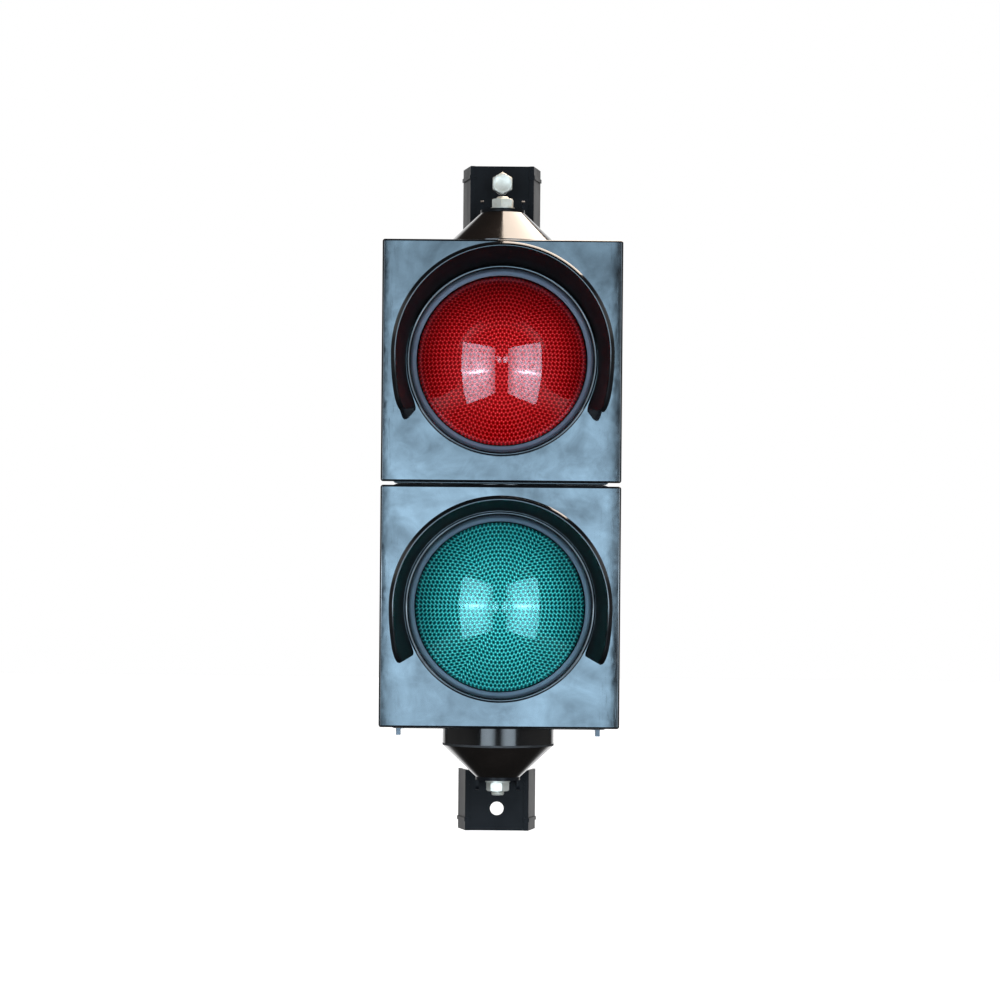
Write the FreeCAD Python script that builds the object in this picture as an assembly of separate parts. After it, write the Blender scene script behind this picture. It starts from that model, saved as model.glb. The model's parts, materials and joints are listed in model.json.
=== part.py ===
import FreeCAD, Part
import math
import os
from FreeCAD import Vector

# Two-aspect traffic signal head, red over green, held to a pole by two swivel brackets.
# Millimetres. +Z is up and the lenses look along -Y.
# The origin is the centre of the lower pole bore, on the back face of its pole plate.

# ---- driving dimensions -------------------------------------------------------------
ARM_REACH = 114.0        # swivel axis to the back face of the pole plate
DOOR_W = 282.0
DOOR_H = 284.0
PITCH = 288.0            # height of one module
BODY_W = 256.0
BODY_GAP = 0.6           # joint line between stacked bodies
WALL = 3.0
DOOR_FRONT = -90.0       # door face, measured from the swivel axis
DOOR_DEPTH = 15.0
BODY_FRONT = -74.5
BODY_REAR = 74.0
REAR_FILLET = 20.0
DOOR_CORNER = 3.0
DOOR_EDGE = 2.4

LENS_R = 99.8            # visible dome
LENS_FLANGE_R = 105.5
LENS_CURVE = 155.0       # radius of the dome
LENS_WALL = 3.0
COLLAR_IN = 107.5
COLLAR_OUT = 112.0
COLLAR_PROUD = 6.0
VISOR_DEPTH = 100.0
VISOR_ROOT = 112.4       # inner radius against the collar
VISOR_MOUTH = 122.6      # inner radius at the front rim
VISOR_WALL = 2.6
VISOR_SWEEP = 242.0      # degrees of arc, centred on the top
VISOR_CORNER = 20.0      # rounding of the two lower front corners
RIM_BEAD = 1.7
RIM_BEAD_W = 3.4         # bead along the rim, front to back
VISOR_TAB_ANGLES = (10.0, 90.0, 170.0)   # degrees round the lens
VISOR_TAB_R = 119.5
VISOR_TAB_T = 3.0
VISOR_TAB_W = 14.0

BOSS_R = 67.0
BOSS_H = 20.0
BOSS_WALL = 7.0
SOCKET_R = 67.4
FLOOR = 4.0
SEAT_GASKET = 2.5
JOINT_GASKET = 2.0
CONE_H = 38.0
CONE_TOP_R = 27.0
CONE_WALL = 4.0

ARM_W = 53.4
ARM_FLOOR = 4.0
ARM_WALL_H = 13.0
PLATE_T = 4.0
PLATE_W = 79.0
PLATE_FLARE = 9.0        # how far each flange spreads
FLANGE_DEPTH = 31.0      # flange, behind the plate
PLATE_BORE_OFFSET = 86.0  # cone base to pole bore
PLATE_EDGE_OFFSET = 113.5  # cone base to the plate's free edge

M16_R = 8.0
M16_CLEAR_R = 8.5
THREAD_R = 7.95
HEX_AF = 24.0
HEAD_H = 10.0
NUT_H = 10.5
WASHER_R = 15.0
WASHER_T = 3.0
WIRE_HOLE_R = 9.0
WIRE_HOLE_X = 34.0
RUN = 0.05               # running clearance of pins and swivels, on the radius
POLE_HEAD_GAP = 42.0     # front of the pole plate to the front of the loose pole bolt's head
GROOVE_R = 6.8           # run-out groove of the pole bolt's thread
GROOVE_W = 2.0

SCREW_R = 1.95           # small pan-head screws
PILOT_R = 2.0
SCREW_HEAD_R = 4.0
SCREW_HEAD_H = 2.5
SCREW_LENGTH = 8.0
SCREW_SLOT = 1.0

HINGE_X = -134.5
HINGE_Y = -68.0
HINGE_Z = 95.0
HINGE_R = 5.0
HINGE_PIN_R = 2.5
LATCH_Z = 95.0
LATCH_Y = -48.0          # latch pivot
STUD_Y = -69.0           # door stud that the latch hooks
STUD_R = 3.0
LATCH_PIVOT_R = 3.0
LATCH_T = 3.0
LATCH_W = 14.0
LATCH_SLOT = 3.4         # half width of the hook's slot

INSERT_R = 103.0
INSERT_REAR = -35.0
INSERT_WALL = 2.5
CLIP_R = 118.0           # radius of the lens clip screws
CLIP_T = 2.0
CLIP_W = 14.0
BOARD_T = 1.6            # circuit boards
LED_BOARD_Y = -59.0
LED_RINGS = 5
LED_PITCH = 18.0
LED_R = 2.5
LED_H = 5.0
DRIVER_Y = -45.0
DRIVER_W = 96.0
DRIVER_H = 62.0
DRIVER_POST_X = 43.0
DRIVER_POST_Z = 26.0

LUG_X = 121.5
LUG_SCREW_X = 105.5
LUG_SCREW_Y = 46.0
LUG_FOOT_T = 1.6
LUG_H = 14.0
LUG_T = 5.4

GROMMET_R = 11.0
CABLE_R = 6.0
GROMMET_Z = -122.0       # below the green lens axis
TERMINAL_Z = -60.0
TERMINAL_WAYS = 6
TERMINAL_PITCH = 14.0

# ---- derived places -----------------------------------------------------------------
CONE_BASE_LOW = PLATE_BORE_OFFSET
BOSS_BOTTOM = CONE_BASE_LOW + SEAT_GASKET
BODY_BOTTOM = BOSS_BOTTOM + BOSS_H
SEAM = BODY_BOTTOM + PITCH
BODY_TOP = SEAM + PITCH
CONE_BASE_HIGH = BODY_TOP + SEAT_GASKET
HALF = (PITCH - BODY_GAP) / 2
SOCKET_FLOOR = PITCH / 2 - BOSS_H - JOINT_GASKET   # above the module's centre
LENS_RIM_Y = DOOR_FRONT + 3.5   # where the dome meets its flange
BEZEL_Y = DOOR_FRONT - 3.5
PANEL_BACK = DOOR_FRONT + WALL
DOOR_BACK = DOOR_FRONT + DOOR_DEPTH
INSERT_FRONT = LENS_RIM_Y + 4.4
INSERT_FLANGE = 2.5
CLIP_SEAT_Y = INSERT_FRONT + INSERT_FLANGE
LATCH_X0 = BODY_W / 2 + 0.4
DRIVER_POSTS = [(sx * DRIVER_POST_X, sz * DRIVER_POST_Z) for sx in (-1, 1) for sz in (-1, 1)]
TERMINAL_X = [TERMINAL_PITCH * (i - (TERMINAL_WAYS - 1) / 2) for i in range(TERMINAL_WAYS)]
MODULES = {"red": SEAM + PITCH / 2, "green": BODY_BOTTOM + PITCH / 2}

X = Vector(1, 0, 0)
Y = Vector(0, 1, 0)
Z = Vector(0, 0, 1)


# ---- small helpers ------------------------------------------------------------------
def box(x0, x1, y0, y1, z0, z1):
    return Part.makeBox(x1 - x0, y1 - y0, z1 - z0, Vector(x0, y0, z0))


def rod(r, x, y, z, axis, length):
    return Part.makeCylinder(r, length, Vector(x, y, z), axis)


def ring_z(r_out, r_in, z0, z1):
    return rod(r_out, 0, 0, z0, Z, z1 - z0).cut(rod(r_in, 0, 0, z0, Z, z1 - z0))


def ring_y(r_out, r_in, y0, y1):
    return rod(r_out, 0, y0, 0, Y, y1 - y0).cut(rod(r_in, 0, y0, 0, Y, y1 - y0))


def fuse(shapes):
    body = shapes[0]
    for other in shapes[1:]:
        body = body.fuse(other)
    return body.removeSplitter()


def turned_y(points, angle=360.0):
    """Revolves an outline of (radius, y) points about the lens axis."""
    wire = Part.makePolygon([Vector(r, y, 0) for r, y in points + points[:1]])
    return Part.Face(wire).revolve(Vector(0, 0, 0), Y, angle)


def turned_z(points):
    """Revolves an outline of (radius, z) points about the swivel axis."""
    wire = Part.makePolygon([Vector(r, 0, z) for r, z in points + points[:1]])
    return Part.Face(wire).revolve(Vector(0, 0, 0), Z, 360)


def hexagon(across_flats, height, turn=0.0):
    """A hexagonal prism on the XY plane with its top and bottom edges chamfered round."""
    corner = across_flats / math.sqrt(3)
    points = []
    for i in range(7):
        a = math.radians(60 * i + turn)
        points.append(Vector(corner * math.cos(a), corner * math.sin(a), 0))
    prism = Part.Face(Part.makePolygon(points)).extrude(Vector(0, 0, height))
    crown = corner * 1.02
    chamfer = (crown - across_flats / 2) * 0.6
    profile = [
        (0, 0),
        (crown - (corner - across_flats / 2), 0),
        (crown, chamfer),
        (crown, height - chamfer),
        (crown - (corner - across_flats / 2), height),
        (0, height),
    ]
    return prism.common(turned_z(profile))


def edges_along(shape, axis, test=None):
    found = []
    for edge in shape.Edges:
        if edge.Curve.TypeId != "Part::GeomLine":
            continue
        direction = edge.tangentAt(edge.FirstParameter)
        if abs(direction.dot(axis)) < 0.999:
            continue
        if test is None or test(edge.CenterOfMass):
            found.append(edge)
    return found


def edges_in_plane_y(shape, y):
    return [e for e in shape.Edges if abs(e.BoundBox.YMin - y) < 1e-3 and abs(e.BoundBox.YMax - y) < 1e-3]


def moved(shape, x=0.0, y=0.0, z=0.0):
    copy = shape.copy()
    copy.translate(Vector(x, y, z))
    return copy


def mirrored_z(shape):
    """Turns a part upside down about the swivel axis plane: half a turn about Y."""
    copy = shape.copy()
    copy.rotate(Vector(0, 0, 0), Y, 180)
    return copy


# ---- one signal module, about its lens axis ----------------------------------------
def body():
    shell = box(-BODY_W / 2, BODY_W / 2, BODY_FRONT, BODY_REAR, -HALF, HALF)
    shell = shell.makeFillet(REAR_FILLET, edges_along(shell, Z, lambda c: c.y > 0))
    rear_edges = [e for e in edges_in_plane_y(shell, BODY_REAR) if abs(e.CenterOfMass.z) > HALF - 1]
    shell = shell.makeFillet(6.0, rear_edges)
    lip = 12.0
    inner = box(-BODY_W / 2 + WALL, BODY_W / 2 - WALL, BODY_FRONT + WALL, BODY_REAR - WALL,
                -HALF + WALL, HALF - WALL)
    inner = inner.makeFillet(REAR_FILLET - WALL, edges_along(inner, Z, lambda c: c.y > 0))
    mouth = box(-BODY_W / 2 + lip, BODY_W / 2 - lip, BODY_FRONT - 1, BODY_FRONT + WALL + 1,
                -HALF + lip + 6, HALF - lip - 6)
    shell = shell.cut(inner).cut(mouth)
    # raised panel on the back
    panel = box(-80, 80, BODY_REAR - 1, BODY_REAR + 1.5, -100, 100)
    panel = panel.makeFillet(8.0, edges_along(panel, Y))
    shell = fuse([shell, panel])
    # round socket in the top that takes the next boss
    socket = rod(SOCKET_R + WALL, 0, 0, SOCKET_FLOOR - FLOOR, Z, HALF - SOCKET_FLOOR + FLOOR)
    shell = fuse([shell, socket])
    shell = shell.cut(rod(SOCKET_R, 0, 0, SOCKET_FLOOR, Z, PITCH))
    # round boss under the bottom
    bottom = -PITCH / 2 - BOSS_H
    shell = fuse([shell, rod(BOSS_R, 0, 0, bottom, Z, PITCH / 2 + BOSS_H - HALF + 1)])
    shell = shell.cut(rod(BOSS_R - BOSS_WALL, 0, 0, bottom + FLOOR, Z, BOSS_H + 8))
    for z in (bottom - 1, SOCKET_FLOOR - FLOOR - 1):
        shell = shell.cut(rod(M16_CLEAR_R, 0, 0, z, Z, FLOOR + 2))
        for x in (-WIRE_HOLE_X, WIRE_HOLE_X):
            shell = shell.cut(rod(WIRE_HOLE_R, x, 0, z, Z, FLOOR + 2))
    # hinge ears on the left, latch holes on the right
    for z in (-HINGE_Z, HINGE_Z):
        for side in (-1, 1):
            z0 = z + side * 11.0 - 5.0
            ear = rod(HINGE_R, HINGE_X, HINGE_Y, z0, Z, 10.0)
            web = box(HINGE_X, -BODY_W / 2 + 1, HINGE_Y - HINGE_R, HINGE_Y + HINGE_R, z0, z0 + 10.0)
            shell = fuse([shell, ear, web])
        shell = shell.cut(rod(HINGE_PIN_R + RUN, HINGE_X, HINGE_Y, z - 20, Z, 40))
    for z in (-LATCH_Z, LATCH_Z):
        boss = rod(7.0, BODY_W / 2 - 10, LATCH_Y, z, X, 9.0)
        shell = fuse([shell, boss])
        shell = shell.cut(rod(LATCH_PIVOT_R, BODY_W / 2 - 11, LATCH_Y, z, X, 12.0))
    return shell


def door():
    w = DOOR_W / 2
    h = DOOR_H / 2
    panel = box(-w, w, DOOR_FRONT, DOOR_BACK, -h, h)
    panel = panel.makeFillet(DOOR_CORNER, edges_along(panel, Y))
    panel = panel.makeFillet(DOOR_EDGE, edges_in_plane_y(panel, DOOR_FRONT))
    panel = panel.cut(box(-w + WALL, w - WALL, PANEL_BACK, DOOR_BACK + 1, -h + WALL, h - WALL))
    # rib that presses the gasket
    rib = box(-123, 123, PANEL_BACK - 1, BODY_FRONT - 3.5, -135, 135)
    rib = rib.cut(box(-121, 121, PANEL_BACK - 2, BODY_FRONT, -133, 133))
    # collar round the lens
    front = DOOR_FRONT - COLLAR_PROUD
    collar = turned_y([
        (COLLAR_IN, front + 1.0),
        (COLLAR_IN + 1.0, front),
        (COLLAR_OUT - 1.4, front),
        (COLLAR_OUT - 0.4, front + 0.4),
        (COLLAR_OUT, front + 1.4),
        (COLLAR_OUT, CLIP_SEAT_Y),
        (COLLAR_IN, CLIP_SEAT_Y),
    ])
    shell = fuse([panel, rib, collar])
    shell = shell.cut(rod(COLLAR_IN, 0, DOOR_FRONT - 1, 0, Y, DOOR_DEPTH))
    # bosses for the lens clips, and for the visor screws
    for x, z in clip_places():
        shell = fuse([shell, rod(5.0, x, PANEL_BACK - 1, z, Y, CLIP_SEAT_Y - PANEL_BACK + 1)])
    for x, z in clip_places():
        shell = shell.cut(rod(PILOT_R, x, PANEL_BACK + 1, z, Y, SCREW_LENGTH + 1))
    for x, z in visor_tab_places():
        shell = fuse([shell, rod(4.5, x, PANEL_BACK - 1, z, Y, 6.0)])
    for x, z in visor_tab_places():
        shell = shell.cut(rod(PILOT_R, x, DOOR_FRONT - 1, z, Y, SCREW_LENGTH))
    # hinge knuckles
    for z in (-HINGE_Z, HINGE_Z):
        z0 = z - 5.8
        knuckle = rod(HINGE_R, HINGE_X, HINGE_Y, z0, Z, 11.6)
        web = box(-w + 0.6, HINGE_X + 3.5, DOOR_BACK - 1, HINGE_Y, z0, z0 + 11.6)
        shell = fuse([shell, knuckle, web])
        shell = shell.cut(rod(HINGE_PIN_R + RUN, HINGE_X, HINGE_Y, z - 8, Z, 16))
    # latch studs on lugs behind the right edge
    for z in (-LATCH_Z, LATCH_Z):
        lug = box(w - WALL - 5, w - WALL, DOOR_BACK - 6, STUD_Y + 5, z - 7, z + 7)
        stud = rod(STUD_R, BODY_W / 2 + 0.6, STUD_Y, z, X, 6.0)
        shell = fuse([shell, lug, stud])
    return shell


def clip_places():
    places = []
    for i in range(4):
        a = math.radians(45 + 90 * i)
        places.append((CLIP_R * math.cos(a), CLIP_R * math.sin(a)))
    return places


def visor_tab_places():
    places = []
    for angle in VISOR_TAB_ANGLES:
        a = math.radians(angle)
        places.append((VISOR_TAB_R * math.cos(a), VISOR_TAB_R * math.sin(a)))
    return places


def visor():
    back = DOOR_FRONT
    front = DOOR_FRONT - VISOR_DEPTH
    flare = (VISOR_MOUTH - VISOR_ROOT) / VISOR_DEPTH
    out = VISOR_MOUTH + VISOR_WALL
    shell = turned_y([
        (VISOR_ROOT, back),
        (VISOR_MOUTH, front),
        (out + RIM_BEAD * 0.7, front),
        (out + RIM_BEAD, front + 0.8),
        (out + RIM_BEAD, front + RIM_BEAD_W),
        (out - (RIM_BEAD_W + 1) * flare, front + RIM_BEAD_W + 1),
        (VISOR_ROOT + VISOR_WALL, back),
    ], VISOR_SWEEP)
    shell = centre_on_top(shell)
    # round the two lower front corners
    low = math.radians((VISOR_SWEEP - 180) / 2)
    tip_z = -out * math.sin(low)
    corner = box(-200, 200, front - 1, front + VISOR_CORNER, tip_z - 4, tip_z + VISOR_CORNER)
    corner = corner.cut(rod(VISOR_CORNER, -200, front + VISOR_CORNER, tip_z + VISOR_CORNER, X, 400))
    shell = shell.cut(corner)
    # screw tabs on the door face
    for angle in VISOR_TAB_ANGLES:
        half = VISOR_TAB_W / 2
        tab = box(VISOR_ROOT + 1, VISOR_TAB_R + 6, back - VISOR_TAB_T, back, -half, half)
        tab = tab.makeFillet(4.0, edges_along(tab, Y, lambda c: c.x > VISOR_TAB_R))
        tab = tab.cut(rod(SCREW_R + 0.3, VISOR_TAB_R, back - 4, 0, Y, 5))
        tab.rotate(Vector(0, 0, 0), Y, -angle)
        shell = fuse([shell, tab])
    return shell


def centre_on_top(shell):
    """Turns an arc about Y until its centre of mass stands over the lens axis."""
    c = shell.CenterOfMass
    angle = math.degrees(math.atan2(c.z, c.x))
    shell.rotate(Vector(0, 0, 0), Y, angle - 90)
    return shell


def pan_screws(places, seat):
    """Pan-head screws along +Y whose heads stand in front of the plane y = seat."""
    face = seat - SCREW_HEAD_H
    crown = SCREW_HEAD_H * 0.45
    half_slot = SCREW_SLOT / 2
    screws = []
    for x, z in places:
        head = rod(SCREW_HEAD_R, x, face, z, Y, SCREW_HEAD_H)
        head = head.makeFillet(crown, edges_in_plane_y(head, face))
        slot = box(x - SCREW_HEAD_R, x + SCREW_HEAD_R, face - 1, seat - crown, z - half_slot, z + half_slot)
        slot = slot.common(rod(SCREW_HEAD_R * 0.7, x, face - 1, z, Y, SCREW_HEAD_H + 1))
        shank = rod(SCREW_R, x, seat - 0.5, z, Y, SCREW_LENGTH + 0.5)
        screws.append(fuse([head, shank]).cut(slot))
    return Part.makeCompound(screws)


def flipped_y(shape, plane_y):
    """Half a turn about Z, then back to the same x: a screw driven from behind."""
    copy = shape.copy()
    copy.rotate(Vector(0, plane_y, 0), X, 180)
    return copy


def bezel():
    return turned_y([
        (COLLAR_IN - 0.3, BEZEL_Y),
        (COLLAR_IN - 0.3, LENS_RIM_Y - 1.6),
        (LENS_R + 1.2, LENS_RIM_Y - 1.6),
        (LENS_R + 0.4, LENS_RIM_Y - 2.6),
        (COLLAR_IN - 1.6, BEZEL_Y - 0.6),
    ])


def dome_drop(r, curve):
    return curve - math.sqrt(curve * curve - r * r)


def lens():
    apex = LENS_RIM_Y - dome_drop(LENS_R, LENS_CURVE)
    inner = LENS_CURVE - LENS_WALL
    inner_r = LENS_R - 2.6
    mid = LENS_R / 2

    def outer_point(r):
        return Vector(r, apex + dome_drop(r, LENS_CURVE), 0)

    def inner_point(r):
        return Vector(r, apex + LENS_WALL + dome_drop(r, inner), 0)

    rear = LENS_RIM_Y + 2.6
    edges = [
        Part.Arc(outer_point(0), outer_point(mid), outer_point(LENS_R)).toShape(),
        Part.makePolygon([
            outer_point(LENS_R),
            Vector(LENS_FLANGE_R, LENS_RIM_Y, 0),
            Vector(LENS_FLANGE_R, rear, 0),
            Vector(inner_r, rear, 0),
            inner_point(inner_r),
        ]),
        Part.Arc(inner_point(inner_r), inner_point(mid), inner_point(0)).toShape(),
        Part.makeLine(inner_point(0), outer_point(0)),
    ]
    outline = []
    for edge in edges:
        outline.extend(edge.Edges)
    face = Part.Face(Part.Wire(Part.__sortEdges__(outline)))
    return face.revolve(Vector(0, 0, 0), Y, 360)


def lens_gasket():
    """U-section rubber ring round the lens flange."""
    return turned_y([
        (LENS_R + 1.6, LENS_RIM_Y - 1.6),
        (COLLAR_IN - 0.3, LENS_RIM_Y - 1.6),
        (COLLAR_IN - 0.3, LENS_RIM_Y + 4.4),
        (LENS_R + 1.6, LENS_RIM_Y + 4.4),
        (LENS_R + 1.6, LENS_RIM_Y + 2.8),
        (LENS_FLANGE_R + 0.3, LENS_RIM_Y + 2.8),
        (LENS_FLANGE_R + 0.3, LENS_RIM_Y - 0.2),
        (LENS_R + 1.6, LENS_RIM_Y - 0.2),
    ])


def insert_shell():
    """Shallow cup that closes the back of the light unit."""
    cup = turned_y([
        (COLLAR_IN - 0.5, INSERT_FRONT),
        (COLLAR_IN - 0.5, CLIP_SEAT_Y),
        (INSERT_R, CLIP_SEAT_Y),
        (INSERT_R, INSERT_REAR - 10),
        (INSERT_R - 10, INSERT_REAR),
        (0, INSERT_REAR),
        (0, INSERT_REAR - INSERT_WALL),
        (INSERT_R - 11, INSERT_REAR - INSERT_WALL),
        (INSERT_R - INSERT_WALL, INSERT_REAR - 11),
        (INSERT_R - INSERT_WALL, INSERT_FRONT),
    ])
    seat = ring_y(INSERT_R - 1, INSERT_R - 8, LED_BOARD_Y + BOARD_T, LED_BOARD_Y + BOARD_T + INSERT_WALL)
    posts = []
    for x, z in DRIVER_POSTS:
        posts.append(rod(3.0, x, DRIVER_Y + BOARD_T, z, Y, INSERT_REAR - 2 - DRIVER_Y - BOARD_T))
    cup = fuse([cup, seat] + posts)
    return cup.cut(rod(4.0, 0, INSERT_REAR - 4, -60, Y, 6))


def led_board():
    board = rod(INSERT_R - 3.2, 0, LED_BOARD_Y, 0, Y, BOARD_T)
    for i in range(3):
        a = math.radians(90 + 120 * i)
        board = board.cut(rod(2.0, 94 * math.cos(a), LED_BOARD_Y - 1, 94 * math.sin(a), Y, 4))
    return board


def leds():
    """Rings of domed lamps standing on the board."""
    lamps = []
    tip = LED_BOARD_Y - LED_H
    for ring in range(LED_RINGS):
        count = max(1, ring * 6)
        for i in range(count):
            a = 2 * math.pi * i / count
            x = ring * LED_PITCH * math.cos(a)
            z = ring * LED_PITCH * math.sin(a)
            lamp = rod(LED_R, x, tip, z, Y, LED_H)
            lamp = lamp.makeFillet(LED_R - 0.6, edges_in_plane_y(lamp, tip))
            lamps.append(lamp)
    return Part.makeCompound(lamps)


def driver_board():
    w = DRIVER_W / 2
    h = DRIVER_H / 2
    board = box(-w, w, DRIVER_Y, DRIVER_Y + BOARD_T, -h, h)
    front = DRIVER_Y - 8.5
    parts = [
        board,
        box(-14, 10, front, DRIVER_Y + 0.5, -12, 10),
        box(18, 34, front + 3, DRIVER_Y + 0.5, -18, -6),
        rod(5.0, -28, front + 1, 12, Y, 8.0),
        rod(4.0, -30, front + 2, -8, Y, 7.0),
        rod(3.0, 24, front + 3, 12, Y, 6.0),
        box(-40, -26, front + 4, DRIVER_Y + 0.5, -28, -20),
    ]
    return fuse(parts)


def lens_clips():
    clips = []
    y0 = CLIP_SEAT_Y
    for i in range(4):
        clip = box(INSERT_R - 3, CLIP_R + 6, y0, y0 + CLIP_T, -CLIP_W / 2, CLIP_W / 2)
        clip = clip.makeFillet(3.0, edges_along(clip, Y))
        clip = clip.cut(rod(SCREW_R + 0.35, CLIP_R, y0 - 1, 0, Y, 4))
        clip = clip.cut(rod(INSERT_R + 0.5, 0, y0 - 1, 0, Y, 4))
        clip.rotate(Vector(0, 0, 0), Y, 45 + 90 * i)
        clips.append(clip)
    return Part.makeCompound(clips)


def clip_screws():
    seat = CLIP_SEAT_Y + CLIP_T
    return flipped_y(pan_screws(clip_places(), seat), seat)


def visor_screws():
    return pan_screws(visor_tab_places(), DOOR_FRONT - VISOR_TAB_T)


def door_gasket():
    ring = box(-125, 125, BODY_FRONT - 3.5, BODY_FRONT, -137, 137)
    ring = ring.makeFillet(5.0, edges_along(ring, Y))
    hole = box(-119, 119, BODY_FRONT - 4, BODY_FRONT + 1, -131, 131)
    hole = hole.makeFillet(4.0, edges_along(hole, Y))
    return ring.cut(hole)


def hinge_pins():
    pins = []
    for z in (-HINGE_Z, HINGE_Z):
        shank = rod(HINGE_PIN_R, HINGE_X, HINGE_Y, z - 18, Z, 34.2)
        head = rod(4.0, HINGE_X, HINGE_Y, z + 16.0, Z, 2.0)
        pins.append(fuse([shank, head]))
    return Part.makeCompound(pins)


def latch(z):
    """Hook lever on the right side, hanging down: unlatched."""
    reach = LATCH_Y - STUD_Y
    outer = reach + 6.0
    x0 = LATCH_X0
    arm = box(x0, x0 + LATCH_T, -outer, 8, -LATCH_W / 2, LATCH_W / 2)
    arm = arm.common(rod(outer, x0 - 1, 0, 0, X, LATCH_T + 2))
    tail = box(x0, x0 + LATCH_T, 0, 16, -5, 5)
    tail = tail.makeFillet(4.0, edges_along(tail, X, lambda c: c.y > 10))
    hook = fuse([arm, tail])
    slot = rod(reach + LATCH_SLOT, x0 - 1, 0, 0, X, LATCH_T + 2)
    slot = slot.cut(rod(reach - LATCH_SLOT, x0 - 1, 0, 0, X, LATCH_T + 2))
    slot = slot.common(box(x0 - 1, x0 + LATCH_T + 1, -outer - 1, 0, 0, 12))
    hook = hook.cut(slot).cut(rod(LATCH_SLOT, x0 - 1, -reach, 0, X, LATCH_T + 2))
    knob = rod(4.0, x0 + LATCH_T - 0.5, 11, 0, X, 5.0)
    x_knob = x0 + LATCH_T + 4.5
    knob = knob.makeFillet(1.0, [e for e in knob.Edges if abs(e.CenterOfMass.x - x_knob) < 0.01])
    hook = fuse([hook, knob]).cut(rod(LATCH_PIVOT_R + RUN, x0 - 1, 0, 0, X, LATCH_T + 2))
    hook.rotate(Vector(0, 0, 0), X, 90)
    return moved(hook, 0, LATCH_Y, z)


def latch_screws():
    """Shoulder screws that carry the latches."""
    screws = []
    for z in (-LATCH_Z, LATCH_Z):
        shank = rod(LATCH_PIVOT_R - 0.02, BODY_W / 2 - 9, LATCH_Y, z, X, 9 + LATCH_T + 0.6)
        head = rod(6.0, LATCH_X0 + LATCH_T + 0.2, LATCH_Y, z, X, 2.4)
        x_face = LATCH_X0 + LATCH_T + 2.6
        head = head.makeFillet(1.0, [e for e in head.Edges if abs(e.CenterOfMass.x - x_face) < 0.01])
        drive = box(x_face - 1.0, x_face + 1, LATCH_Y - 4, LATCH_Y + 4, z - 0.6, z + 0.6)
        screws.append(fuse([shank, head]).cut(drive))
    return Part.makeCompound(screws)


# ---- shared pieces, about the swivel axis -------------------------------------------
def bolt(length, turn=30.0):
    """Hexagon bolt standing on its head, shank up."""
    head = hexagon(HEX_AF, HEAD_H, turn)
    tip = 1.5
    shank = turned_z([
        (0, HEAD_H - 1),
        (M16_R, HEAD_H - 1),
        (M16_R, HEAD_H + length - tip),
        (M16_R - tip, HEAD_H + length),
        (0, HEAD_H + length),
    ])
    return fuse([head, shank])


def nut(turn=0.0):
    return hexagon(HEX_AF, NUT_H, turn).cut(rod(M16_R + 0.02, 0, 0, -1, Z, NUT_H + 2))


def washer():
    return ring_z(WASHER_R, M16_CLEAR_R, 0, WASHER_T)


def cone(spigot):
    """Hollow adaptor from the body to the arm; base at z = 0, small end up."""
    top = CONE_H
    if spigot > 0:
        skin = turned_z([(0, top), (CONE_TOP_R, top), (BOSS_R, 0), (BOSS_R, -spigot), (0, -spigot)])
        mouth = [(BOSS_R - CONE_WALL, 2), (BOSS_R - CONE_WALL, FLOOR - spigot), (0, FLOOR - spigot)]
    else:
        skin = turned_z([(0, top), (CONE_TOP_R, top), (BOSS_R, 0), (0, 0)])
        mouth = [(BOSS_R - BOSS_WALL - 2, 3), (BOSS_R - BOSS_WALL - 2, -1), (0, -1)]
    hollow = turned_z([(0, top - 6), (CONE_TOP_R - 3, top - 6)] + mouth)
    shape = skin.cut(hollow).cut(rod(M16_CLEAR_R, 0, 0, -spigot - 1, Z, spigot + top + 2))
    if spigot > 0:
        for x in (-WIRE_HOLE_X, WIRE_HOLE_X):
            shape = shape.cut(rod(WIRE_HOLE_R, x, 0, -spigot - 1, Z, FLOOR + 2))
    return shape


def seat_gasket(r_out, r_in, thickness, wires):
    ring = ring_z(r_out, r_in, 0, thickness)
    if wires:
        for x in (-WIRE_HOLE_X, WIRE_HOLE_X):
            ring = ring.cut(rod(WIRE_HOLE_R, x, 0, -1, Z, thickness + 2))
    return ring


def arm():
    """Channel arm and flanged pole plate; cone base at z = 0, arm above it."""
    half = ARM_W / 2
    front = ARM_REACH - PLATE_T
    z0 = CONE_H
    z1 = z0 + ARM_FLOOR
    floor = fuse([
        rod(half, 0, 0, z0, Z, ARM_FLOOR),
        box(-half, half, 0, front + 1, z0, z1),
    ])
    walls = []
    for side in (-1, 1):
        x0 = side * half if side < 0 else half - 4
        wall = box(x0, x0 + 4, 0, front + 1, z0, z1 + ARM_WALL_H)
        wall = wall.makeFillet(6.0, edges_along(wall, X, lambda c: c.y < 1 and c.z > z1))
        walls.append(wall)
    web = box(-PLATE_W / 2, PLATE_W / 2, front, ARM_REACH, z0, PLATE_EDGE_OFFSET)
    plate = [web]
    for side in (-1, 1):
        plate.append(flange(side, front, z0))
        x0 = PLATE_W / 2 - 5.5
        rim = box(x0, PLATE_W / 2, front - 1.5, front + 1, z0, PLATE_EDGE_OFFSET)
        plate.append(rim if side > 0 else rim.mirror(Vector(0, 0, 0), X))
    rib = box(-0.8, 0.8, front - 0.5, front + 1, z1 + 2, PLATE_EDGE_OFFSET)
    rib = rib.cut(rod(M16_CLEAR_R + 2, 0, front - 1, PLATE_BORE_OFFSET, Y, 4))
    shape = fuse([floor] + walls + plate + [rib])
    shape = shape.cut(rod(M16_R + RUN + 0.02, 0, 0, z0 - 1, Z, ARM_FLOOR + 2))
    return shape.cut(rod(M16_CLEAR_R, 0, front - 5, PLATE_BORE_OFFSET, Y, 20))


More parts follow.
